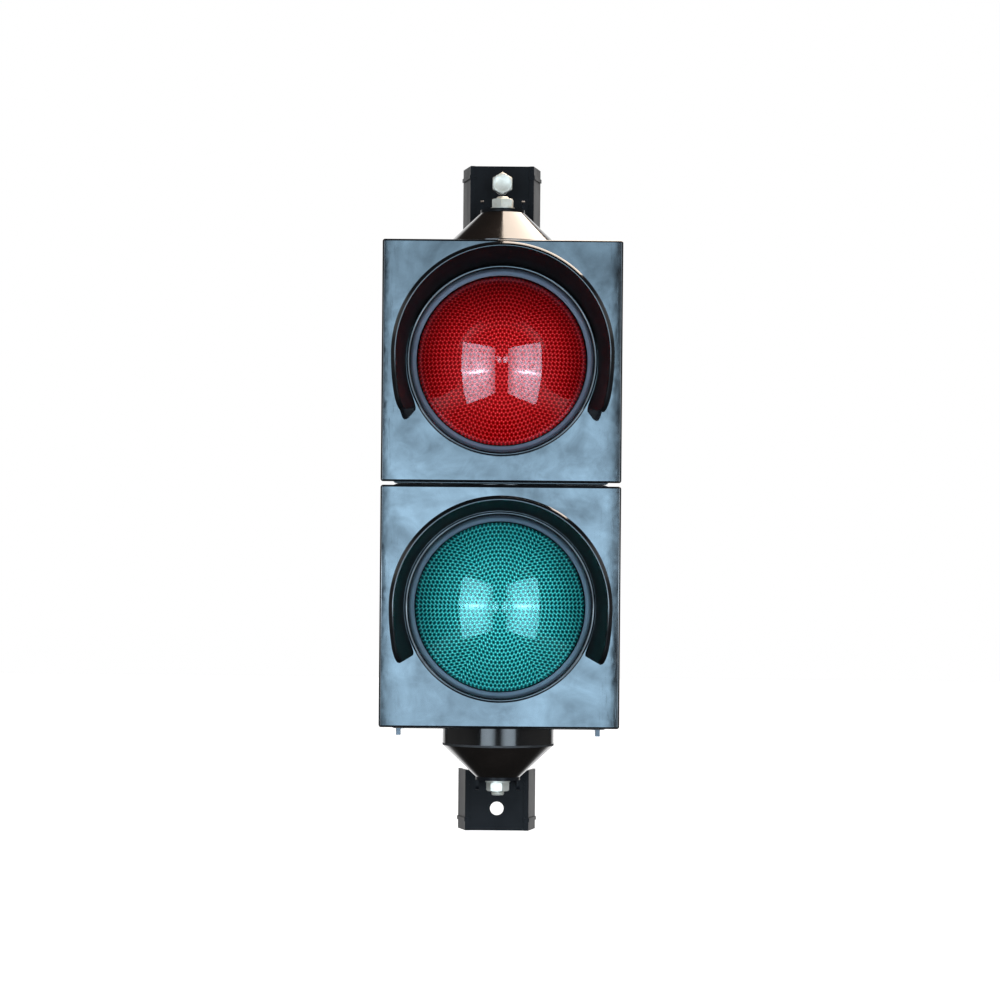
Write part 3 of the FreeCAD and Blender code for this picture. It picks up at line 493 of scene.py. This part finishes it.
def lens_shell(colour, finish):
    """Smooth domed skin with a bull's-eye in the middle and its clamping flange."""
    centre, apex, curve, rim, flange_r = lens_measures(colour)
    steps = 40
    dome_out = dome([LENS_VISIBLE_R * i / steps for i in range(1, steps + 1)], apex, curve)
    eye_curve, eye_r = BULLS_EYE[colour]
    eye_rim = dome_y(eye_r, apex, curve)
    eye_drop = math.sqrt(eye_curve ** 2 - eye_r ** 2)
    eye_apex = eye_rim - eye_curve + eye_drop
    eye = dome([eye_r * i / 8 for i in range(1, 9)], eye_apex, eye_curve)
    dome_out = eye + [p for p in dome_out if p[0] > eye_r + 0.5 * MM]
    inner_apex = apex + SHELL_T
    last = LENS_VISIBLE_R - SHELL_T
    dome_in = dome([last * i / steps for i in range(steps, 0, -1)], inner_apex, curve - SHELL_T)
    flange = [(flange_r, rim + 0.1 * MM), (flange_r, rim + SHELL_T), (last + 0.3 * MM, rim + SHELL_T)]
    profile = dome_out + flange + dome_in
    segments = 144
    count = len(profile)
    points, faces = turned(profile, segments, centre)
    # close both domes on the axis instead of joining their first and last rings
    faces = [f for f in faces if not {f[0] % count, f[1] % count} == {0, count - 1}]
    outer_tip = len(points)
    points.append((centre.x, eye_apex, centre.z))
    inner_tip = outer_tip + 1
    points.append((centre.x, inner_apex, centre.z))
    for s in range(segments):
        n = (s + 1) % segments
        faces.append((outer_tip, s * count, n * count))
        faces.append((inner_tip, n * count + count - 1, s * count + count - 1))
    return mesh_object(colour + "_lens_skin", points, faces, colour + "_door", finish)


def hex_distance(ring, step):
    """Distance to the nearest lenslet's middle, in lenslet pitches, for a point of the fine hex grid."""
    if ring == 0:
        return 0.0
    side, along = divmod(step, ring)
    a = math.radians(60 * side)
    b = math.radians(60 * side + 120)
    x = (ring * math.cos(a) + along * math.cos(b)) / LENSLET_STEPS
    y = (ring * math.sin(a) + along * math.sin(b)) / LENSLET_STEPS
    # cube coordinates, rounded to the nearest lenslet
    q = x - y / math.sqrt(3)
    r = 2 * y / math.sqrt(3)
    s = -q - r
    rq, rr, rs = round(q), round(r), round(s)
    dq, dr, ds = abs(rq - q), abs(rr - r), abs(rs - s)
    if dq > dr and dq > ds:
        rq = -rr - rs
    elif dr > ds:
        rr = -rq - rs
    return math.hypot(x - (rq + rr / 2), y - rr * math.sqrt(3) / 2)


def lens_optic(colour, finish):
    """The lenslet plate: rings of pits in a raised lattice, domed under the skin, hollow behind."""
    centre, apex, curve, rim, _ = lens_measures(colour)
    front_apex = apex + SHELL_T + OPTIC_GAP
    front_curve = curve - SHELL_T - OPTIC_GAP
    edge = LENS_VISIBLE_R - PLATE_EDGE
    pitch = edge / (LENSLET_RINGS + 0.35)
    fine_rings = int(round(edge / pitch * LENSLET_STEPS))
    points = []
    heights = []
    rings = []
    for ring in range(fine_rings + 1):
        count = max(1, 6 * ring)
        r = pitch * ring / LENSLET_STEPS
        rings.append(list(range(len(points), len(points) + count)))
        for step in range(count):
            a = 2 * math.pi * step / count
            away = hex_distance(ring, step)
            sink = LENSLET_DEPTH * (1 - min(1.0, away / 0.5)) ** 1.3
            y = dome_y(r, front_apex, front_curve) + sink
            points.append((centre.x + r * math.cos(a), y, centre.z + r * math.sin(a)))
            heights.append(away)
    faces = []
    for inner, outer in zip(rings, rings[1:]):
        faces += [tuple(reversed(f)) for f in strip(inner, outer)]
    # the smooth back of the plate needs fewer rings
    back_apex = front_apex + OPTIC_T
    back_curve = front_curve - OPTIC_T
    last = rings[-1]
    back_steps = 9
    for i in range(back_steps, -1, -1):
        r = (edge - 0.3 * MM) * i / back_steps
        count = max(1, 12 * i)
        ring = list(range(len(points), len(points) + count))
        for step in range(count):
            a = 2 * math.pi * step / count
            y = min(dome_y(r, back_apex, back_curve), rim + 0.7 * MM)
            points.append((centre.x + r * math.cos(a), y, centre.z + r * math.sin(a)))
            heights.append(0.5)
        faces += strip(ring, last)
        last = ring
    piece = mesh_object(colour + "_lens_optic", points, faces, colour + "_door", finish)
    point_values(piece, "lenslet", heights)


# ---- visor ------------------------------------------------------------------------
def visor_profile(back, front):
    """Closed outline (radius, distance from the door) of the visor's wall between two distances.

    The rim's front-most line is its inner lip; from there it rounds back to a shoulder outside."""
    flare = (VISOR_MOUTH - VISOR_ROOT) / (100 * MM)
    span = front - back
    lip = min(0.6 * MM, span / 4)
    shoulder = min(3.8 * MM, span / 3)
    inner_end = VISOR_ROOT + flare * front
    outer_end = inner_end + VISOR_WALL + VISOR_BEAD
    outline = []
    for i in range(VISOR_INNER):
        d = back + (span - lip) * i / (VISOR_INNER - 1)
        outline.append((VISOR_ROOT + flare * d, d))
    for i in range(1, 6):
        a = math.radians(18 * i)
        outline.append((inner_end + lip * (1 - math.cos(a)), front - lip + lip * math.sin(a)))
    edge = inner_end + lip + VISOR_LAND
    outline.append((edge - VISOR_LAND / 2, front))
    for i in range(9):
        a = math.radians(90 * i / 8)
        out = math.sin(a) ** VISOR_BEVEL
        back_off = 1 - max(0.0, math.cos(a)) ** VISOR_BEVEL
        outline.append((edge + (outer_end - edge) * out, front - shoulder * back_off))
    outline.append((outer_end - 0.3 * MM, front - shoulder - min(0.7 * MM, span / 12)))
    outline.append((inner_end + VISOR_WALL, front - shoulder - min(2.0 * MM, span / 8)))
    for i in range(11, -1, -1):
        d = back + (span - shoulder - min(3.0 * MM, span / 6)) * i / 12
        outline.append((VISOR_ROOT + VISOR_WALL + flare * d, d))
    return outline


def visor_stations(span):
    """Distances along the rim, closer together at the rounded ends."""
    fine, middle = VISOR_STATIONS
    edge = [VISOR_END * (1 - math.cos(math.radians(4 + 86 * i / fine))) for i in range(fine + 1)]
    between = [VISOR_END + (span - 2 * VISOR_END) * i / middle for i in range(1, middle)]
    return edge + between + [span - e for e in reversed(edge)]


def visor_cap(points, faces, base, count, out, flip):
    """Closes a free end: its outline shrinks onto its own middle line while it lifts outwards."""
    edge = [Vector(points[base + k]) for k in range(count)]
    middle_line = [(edge[k] + edge[count - 1 - k]) / 2 for k in range(count)]
    last = list(range(base, base + count))
    for step in range(1, 4):
        lift = 1.1 * MM * math.sin(math.radians(90 * step / 3))
        keep = math.cos(math.radians(78 * step / 3))
        new = []
        for k in range(count):
            new.append(len(points))
            points.append(tuple(middle_line[k] + (edge[k] - middle_line[k]) * keep + out * lift))
        for k in range(count):
            n = (k + 1) % count
            quad = (last[k], last[n], new[n], new[k])
            faces.append(tuple(reversed(quad)) if flip else quad)
        last = new
    faces.append(tuple(reversed(last)) if flip else tuple(last))


def visor(colour, finish):
    """Flared hood with a rolled rim, rounded lower corners and screw tabs on the door."""
    low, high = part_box(colour + "_visor")
    centre = lens_centre(colour)
    root_y = high.y
    reach = high.y - low.y
    start = math.pi / 2 - VISOR_SWEEP / 2
    arc_r = VISOR_MOUTH + VISOR_WALL
    span = VISOR_SWEEP * arc_r
    stations = visor_stations(span)
    points = []
    faces = []
    inside = []                  # 1 where the surface is matt
    count = len(visor_profile(0, reach))
    for s in stations:
        inward = 1 - min(s, span - s, VISOR_END) / VISOR_END
        half = reach / 2 - VISOR_END * (1 - math.sqrt(1 - inward ** 2))
        a = start + s / arc_r
        below = max(0.0, -a, a - math.pi)
        drop = VISOR_DROP * (below / math.radians(22.5)) ** 2 / reach
        for r, d in visor_profile(reach / 2 - half, reach / 2 + half):
            wide = 1 + drop * d
            points.append((centre.x + wide * r * math.cos(a), root_y - d, centre.z + wide * r * math.sin(a)))
        # the inner wall is matt; below the lens's middle the rim and the outside fade to matt too
        inside += [1.0] * VISOR_INNER + [min(1.0, below / math.radians(12))] * (count - VISOR_INNER)
    for i in range(len(stations) - 1):
        for k in range(count):
            n = (k + 1) % count
            faces.append((i * count + k, i * count + n, (i + 1) * count + n, (i + 1) * count + k))
    for base, a, push in ((0, start, -1), ((len(stations) - 1) * count, start + VISOR_SWEEP, 1)):
        out = Vector((-math.sin(a), 0, math.cos(a))) * push
        visor_cap(points, faces, base, count, out, flip=push < 0)
    faces = [tuple(reversed(f)) for f in faces]
    piece = mesh_object(colour + "_visor_hood", points, faces, colour + "_door", finish)
    point_values(piece, "inside", inside + [1.0] * (len(points) - len(inside)))
    sharpen(piece, 50)
    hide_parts(colour + "_visor")
    for i, degrees in enumerate(VISOR_TABS):
        root = Vector((centre.x, root_y, centre.z))
        visor_tab("%s_visor_tab_%d" % (colour, i + 1), colour, degrees, root, finish)


def collar_lip(colour, finish):
    """Rounded lip on the front of the door's collar, round the bezel."""
    centre = lens_centre(colour)
    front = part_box(colour + "_door")[0].y
    inner, outer = COLLAR
    middle = (inner + outer) / 2
    half = (outer - inner) / 2
    profile = [(middle + half * math.cos(math.radians(a)), front - COLLAR_LIP * math.sin(math.radians(a)))
               for a in range(0, 181, 15)]
    profile += [(inner, front + 0.4 * MM), (outer, front + 0.4 * MM)]
    points, faces = turned(profile, 144, centre)
    piece = mesh_object(colour + "_collar_lip", points, faces, colour + "_door", finish)
    sharpen(piece, 60)


def visor_tab(name, colour, degrees, root, finish):
    """Tab with rounded corners and a screw hole, standing out from the visor's root."""
    inner = VISOR_ROOT + 1.0 * MM - TAB_R
    outer = 6.0 * MM
    corner = 4.0 * MM
    outline = [(inner, -TAB_HALF)]
    for cx, cz, a0 in ((outer - corner, -TAB_HALF + corner, -90), (outer - corner, TAB_HALF - corner, 0)):
        for i in range(7):
            a = math.radians(a0 + 15 * i)
            outline.append((cx + corner * math.cos(a), cz + corner * math.sin(a)))
    outline.append((inner, TAB_HALF))
    rim = len(outline)
    hole = []
    for u, v in outline:
        a = math.atan2(v, u)
        hole.append((TAB_HOLE * math.cos(a), TAB_HOLE * math.sin(a)))
    turn = math.radians(degrees)
    points = []

    def ring(flat, y):
        first = len(points)
        for u, v in flat:
            r = TAB_R + u
            points.append((root.x + r * math.cos(turn) - v * math.sin(turn), root.y - y,
                           root.z + r * math.sin(turn) + v * math.cos(turn)))
        return list(range(first, first + len(flat)))

    soft = 0.5 * MM
    inset = [(u * 0.94, v * 0.93) for u, v in outline]
    bottom = ring(outline, 0)
    shoulder = ring(outline, TAB_T - soft)
    top = ring(inset, TAB_T)
    hole_top = ring(hole, TAB_T)
    hole_bottom = ring(hole, 0)
    faces = []
    rings = [bottom, shoulder, top, hole_top, hole_bottom, bottom]
    for a, b in zip(rings, rings[1:]):
        for k in range(rim):
            n = (k + 1) % rim
            faces.append((a[k], a[n], b[n], b[k]))
    piece = mesh_object(name, points, faces, colour + "_door", finish)
    sharpen(piece, 40)


# ---- bolts ------------------------------------------------------------------------
def hex_radius(a, turn):
    """Radius of the head's hexagon at an angle."""
    folded = (a - turn) % math.radians(60) - math.radians(30)
    return HEX_AF / 2 / math.cos(folded)


def hex_bolt(name, node_name, base, axis, up, length, thread_from, body, finish, turn, neck=None):
    """Hexagon bolt from its head at base along axis, with a cut thread; up fixes where the corners stand."""
    around = 72
    axis = Vector(axis)
    up = Vector(up)
    side = axis.cross(up)
    corner = HEX_AF / math.sqrt(3)
    flat = HEX_AF / 2 * 0.94
    rows = []                                  # (height, radius for an angle)

    def head_row(h, limit):
        rows.append((h, lambda a: min(hex_radius(a, turn), limit)))

    def plain_row(h, r):
        rows.append((h, lambda a: r))

    plain_row(0.25 * MM, flat * 0.72)
    head_row(0.0, flat * 0.78)
    head_row(0.0, flat)
    for i in range(1, 5):
        head_row(1.4 * MM * i / 4, flat + (corner - flat) * i / 4)
    head_row(HEAD_H - 0.9 * MM, corner)
    head_row(HEAD_H, flat + (corner - flat) * 0.35)
    plain_row(HEAD_H, M16_R + 0.6 * MM)
    plain_row(HEAD_H + 0.6 * MM, M16_R)
    start = HEAD_H + thread_from
    plain_row(start - 0.4 * MM, M16_R)
    if neck:
        neck_r, neck_w = neck
        plain_row(start, neck_r)
        start += neck_w
        plain_row(start - 0.4 * MM, neck_r)
    end = HEAD_H + length
    depth = M16_PITCH * 0.54
    turns = int((end - start) / M16_PITCH * 6)
    for i in range(turns + 1):
        h = start + (end - start) * i / turns

        def threaded(a, h=h):
            phase = (h / M16_PITCH - a / (2 * math.pi)) % 1.0
            cut = depth * max(0.0, min(1.0, 1.25 - abs(phase - 0.5) * 2 * 1.25 - 0.12))
            run_out = min(1.0, max(0.0, (h - start) / (1.2 * MM)))
            return min(M16_CREST - cut * run_out, M16_TIP + (end - h))
        rows.append((h, threaded))
    points = []
    for h, radius in rows:
        for s in range(around):
            a = 2 * math.pi * s / around
            r = radius(a)
            points.append(tuple(Vector(base) + axis * h + (up * math.cos(a) + side * math.sin(a)) * r))
    faces = []
    for i in range(len(rows) - 1):
        for s in range(around):
            n = (s + 1) % around
            faces.append((i * around + s, i * around + n, (i + 1) * around + n, (i + 1) * around + s))
    faces.append(tuple(range(around - 1, -1, -1)))
    last = (len(rows) - 1) * around
    faces.append(tuple(range(last, last + around)))
    piece = mesh_object(name, points, faces, body, finish)
    sharpen(piece, 28)
    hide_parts(node_name)
    return piece


def pole_bolt(finish):
    low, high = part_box("upper_pole_bolt")
    length = high.y - low.y - HEAD_H
    base = ((low.x + high.x) / 2, low.y, (low.z + high.z) / 2)
    plain = -low.y - HEAD_H
    hex_bolt("pole_bolt", "upper_pole_bolt", base, (0, 1, 0), (0, 0, 1), length, plain,
             "upper_bracket", finish, 0.0, neck=POLE_BOLT_NECK)


def swivel_bolt(end, finish):
    low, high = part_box(end + "_swivel_bolt")
    length = high.z - low.z - HEAD_H
    x = (low.x + high.x) / 2
    y = (low.y + high.y) / 2
    upper = end == "upper"
    base = (x, y, low.z if upper else high.z)
    axis = (0, 0, 1) if upper else (0, 0, -1)
    hex_bolt(end + "_bolt", end + "_swivel_bolt", base, axis, (1, 0, 0), length, length * 0.55,
             "head", finish, math.radians(30))


# ==== studio =======================================================================
def studio_world():
    """White behind the head, dim elsewhere, with low bands for the sides and back."""
    world = bpy.data.worlds.new("studio")
    bpy.context.scene.world = world
    world.use_nodes = True
    tree = world.node_tree
    background = tree.nodes["Background"]
    way = node(tree, "ShaderNodeTexCoord").outputs["Generated"]
    axes = node(tree, "ShaderNodeSeparateXYZ", {0: way}).outputs
    behind = remap(tree, axes["Y"], 0.78, 0.88, 0.0, 1.25)
    off_front = remap(tree, axes["Y"], -0.85, -0.70, 0.0, 1.0)
    low = times(tree, remap(tree, axes["Z"], -0.14, -0.26, 0.0, 0.3),
                    remap(tree, axes["Z"], -0.45, -0.62, 1.0, 0.0))
    high = times(tree, remap(tree, axes["Z"], 0.20, 0.30, 0.0, 0.7),
                     remap(tree, axes["Z"], 0.50, 0.62, 1.0, 0.0))
    high = times(tree, high, remap(tree, axes["Y"], 0.30, 0.50, 1.0, 0.0))
    bands = times(tree, plus(tree, low, high), off_front)
    sideways = math_node(tree, "ABSOLUTE", axes["X"])
    side = times(tree, remap(tree, sideways, 0.62, 0.97, 0.0, 1.0),
                     remap(tree, axes["Z"], -0.5, 0.7, 0.28, 0.06))
    bands = plus(tree, bands, side)
    total = plus(tree, plus(tree, behind, bands), 0.035)
    seen = node(tree, "ShaderNodeLightPath").outputs["Is Camera Ray"]
    shown = node(tree, "ShaderNodeMix", {"Factor": seen, "A": total, "B": 1.0}, data_type="FLOAT")
    tree.links.new(shown.outputs["Result"], background.inputs["Strength"])
    background.inputs["Color"].default_value = (1.0, 1.0, 1.0, 1.0)


def bell(tree, x, z, middle, widths):
    """Bell-shaped bump of height 1 at (x, z) = middle."""
    across = math_node(tree, "DIVIDE", math_node(tree, "SUBTRACT", x, middle[0]), widths[0])
    upward = math_node(tree, "DIVIDE", math_node(tree, "SUBTRACT", z, middle[1]), widths[1])
    far = plus(tree, times(tree, across, across),
                    times(tree, upward, upward))
    return math_node(tree, "EXPONENT", times(tree, far, -1.0))


def glowing(tree, colour, strength):
    emission = node(tree, "ShaderNodeEmission", {"Color": (*colour, 1.0), "Strength": strength})
    tree.links.new(emission.outputs[0], tree.nodes["Material Output"].inputs["Surface"])


def cloth(name, side, inner_x, outer_x):
    """Softbox cloth: even white, a soft glow, a bright wide core and a fading inner edge."""
    mat, tree, shader = material(name)
    tree.nodes.remove(shader)
    axes = node(tree, "ShaderNodeSeparateXYZ", {0: place(tree)}).outputs
    x = times(tree, axes["X"], side)
    core_x = inner_x * 0.40 + outer_x * 0.60
    middle = (core_x, SOFTBOX_CORE_Z)
    glow = times(tree, bell(tree, x, axes["Z"], middle, (0.40, 0.55)), 0.45)
    core = times(tree, bell(tree, x, axes["Z"], middle, (0.26, 0.060)), 2.8)
    weave = remap(tree, noise(tree, place(tree), 9.0, 3.0), 0.3, 0.7, -0.06, 0.06)
    total = plus(tree, plus(tree, glow, core), plus(tree, weave, 0.66))
    total = times(tree, total, remap(tree, x, inner_x, inner_x + 0.30, 0.40, 1.0))
    glowing(tree, SOFTBOX_COLOUR, times(tree, total, SOFTBOX_STRENGTH))
    mat.cycles.emission_sampling = "FRONT"
    return mat


def side_softboxes():
    """A pair of tall softboxes either side of the camera, outer edges swung towards the head."""
    inner, outer = SOFTBOX_INNER, SOFTBOX_OUTER
    low, high = SOFTBOX_Z
    for side, name in ((-1, "softbox_left"), (1, "softbox_right")):
        corners = [(side * inner[0], inner[1], low), (side * outer[0], outer[1], low),
                   (side * outer[0], outer[1], high), (side * inner[0], inner[1], high)]
        face = (0, 1, 2, 3) if side < 0 else (3, 2, 1, 0)
        piece = card(corners, face, name, cloth(name, side, inner[0], outer[0]))
        piece.visible_camera = False
        piece.visible_shadow = False


def overhead_softbox():
    """Warm light above and behind, to the right, shining down."""
    middle, width, depth = TOP_LIGHT
    light = bpy.data.lights.new("softbox_top", "AREA")
    light.shape = "RECTANGLE"
    light.size = width
    light.size_y = depth
    light.energy = TOP_LIGHT_RADIANCE * math.pi * width * depth
    light.color = TOP_LIGHT_COLOUR
    lamp = bpy.data.objects.new("softbox_top", light)
    bpy.context.scene.collection.objects.link(lamp)
    lamp.matrix_world = Matrix.Translation(middle)
    lamp.visible_camera = False


def card(points, face, name, finish):
    """One flat face of the studio, which isn't part of the object."""
    mesh = bpy.data.meshes.new(name)
    mesh.from_pydata(points, [], [face])
    piece = bpy.data.objects.new(name, mesh)
    mesh.materials.append(finish)
    bpy.context.scene.collection.objects.link(piece)
    return piece


def band(tree, value, low, high, soft):
    """1 between low and high, 0 outside, with soft edges."""
    return times(tree, remap(tree, value, low, low + soft, 0.0, 1.0),
                     remap(tree, value, high - soft, high, 1.0, 0.0))


def blue_card(spared):
    """Plain pale blue light behind the camera, which the flat doors mirror and the spared pieces don't."""
    mat, tree, shader = material("studio_card")
    tree.nodes.remove(shader)
    axes = node(tree, "ShaderNodeSeparateXYZ", {0: place(tree)}).outputs
    strength = times(tree, remap(tree, axes["Z"], 0.75, 1.2, 14.5, 9.0),
                     band(tree, axes["X"], CARD_X[0] + 0.014, CARD_X[1] - 0.014, 0.010))
    strength = times(tree, strength, band(tree, axes["Z"], CARD_Z[0] + 0.005, CARD_Z[1] - 0.005, 0.02))
    glowing(tree, CARD_COLOUR, strength)
    points = [(x, CARD_Y, z) for x, z in zip(CARD_X + CARD_X[::-1], (CARD_Z[0],) * 2 + (CARD_Z[1],) * 2)]
    piece = card(points, (0, 1, 2, 3), "studio_card", mat)
    piece.visible_camera = False
    piece.visible_diffuse = False
    piece.visible_shadow = False
    unlit = bpy.data.collections.new("spared_by_card")
    for other in spared:
        unlit.objects.link(other)
    for link in unlit.collection_objects:
        link.light_linking.link_state = "EXCLUDE"
    piece.light_linking.receiver_collection = unlit


def floor():
    mat, _, shader = material("studio_floor")
    shader.inputs["Base Color"].default_value = (0.86, 0.86, 0.85, 1.0)
    shader.inputs["Roughness"].default_value = 0.8
    shader.inputs["Emission Color"].default_value = (1.0, 1.0, 1.0, 1.0)
    shader.inputs["Emission Strength"].default_value = 1.0
    points = [(x * FLOOR_SIDE, y * FLOOR_SIDE, FLOOR_Z) for x, y in ((-1, -1), (1, -1), (1, 1), (-1, 1))]
    piece = card(points, (0, 1, 2, 3), "studio_floor", mat)
    piece.visible_glossy = False
    piece.visible_diffuse = False


def camera():
    data = bpy.data.cameras.new("camera")
    data.lens = CAMERA_LENS
    data.sensor_width = 36.0
    data.shift_x, data.shift_y = CAMERA_SHIFT
    eye = bpy.data.objects.new("camera", data)
    bpy.context.scene.collection.objects.link(eye)
    eye.matrix_world = (Matrix.Translation(CAMERA_AT) @ Matrix.Rotation(math.radians(90), 4, "X")
                        @ Matrix.Rotation(CAMERA_LEAN, 4, "Z"))
    bpy.context.scene.camera = eye
    bpy.context.scene.view_settings.view_transform = "Standard"


# ==== the head =====================================================================
def finishes():
    black = (0.0050, 0.0052, 0.0060)
    brown = (0.0055, 0.0048, 0.0045)
    return {
        "housing_black": black_plastic("housing_black", brown, 0.10, 0.00006),
        "door_black": door_plastic("door_black", black),
        "visor_black": visor_plastic("visor_black", tinted(black, 0.6)),
        "bezel_black": satin_ring("bezel_black"),
        "bracket_black": black_plastic("bracket_black", (0.0048, 0.0054, 0.0066), 0.28, 0.00008,
                                       haze=0.10, scratches=0.5, mirror=0.10),
        # the cones' black plastic is warmed to brown, partly painted reflection of the dark brown below
        "cone": black_plastic("cone_black_with_painted_brown", (0.0085, 0.0062, 0.0050), 0.09, 0.00008,
                              haze=0.08, scratches=0.3),
        "latch_black": black_plastic("latch_black", (0.02, 0.02, 0.021), 0.32, 0.00006, haze=0.12),
        "seal_rubber": rubber("seal_rubber"),
        "zinc_steel": plated_steel("zinc_steel", (0.62, 0.60, 0.53), (0.54, 0.48, 0.31), 0.30, 0.45),
        "clip_steel": plated_steel("clip_steel", (0.11, 0.13, 0.15), (0.08, 0.09, 0.10), 0.34, 0.8, 120.0),
        "insert_grey": moulded_grey("insert_grey", (0.19, 0.19, 0.20)),
        "circuit_board": circuit_board("circuit_board"),
        "led_epoxy": lamp_epoxy("led_epoxy"),
        "terminal_grey": moulded_grey("terminal_grey", (0.50, 0.50, 0.47)),
    }


def finish_cad_nodes(finish):
    """Gives every CAD node that stays the finish of its slot."""
    for part in frame["record"]["subparts"]:
        name = part["node"]
        # cones get their own black, warmed as painted brown reflection
        slot_name = "cone" if name.endswith("_cone") else part["material_slot"]
        if slot_name not in finish:
            continue
        piece = frame["nodes"][name]
        piece.data.materials.clear()
        piece.data.materials.append(finish[slot_name])


def build():
    finish = finishes()
    finish_cad_nodes(finish)
    for colour in COLOURS:
        stops, through, mirror = LENS_TINTS_AND_PAINTED_LIGHT[colour]
        lenslet_colour_and_painted_light = lenslets(colour + "_lenslets", *stops, lens_centre(colour).z, TOP_PAINTED_SHADE[colour])
        skin = lens_shell(colour, lens_skin(colour + "_lens_skin", through, mirror))
        lens_optic(colour, lenslet_colour_and_painted_light)
        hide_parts(colour + "_lens")
        visor(colour, finish["visor_black"])
        collar_lip(colour, finish["door_black"])
    pole_bolt(finish["zinc_steel"])
    for end in ("lower", "upper"):
        swivel_bolt(end, finish["zinc_steel"])


build()
studio_world()
side_softboxes()
overhead_softbox()
blue_card([piece for name, piece in bpy.data.objects.items() if name.endswith(SPARED_BY_CARD)])
floor()
camera()
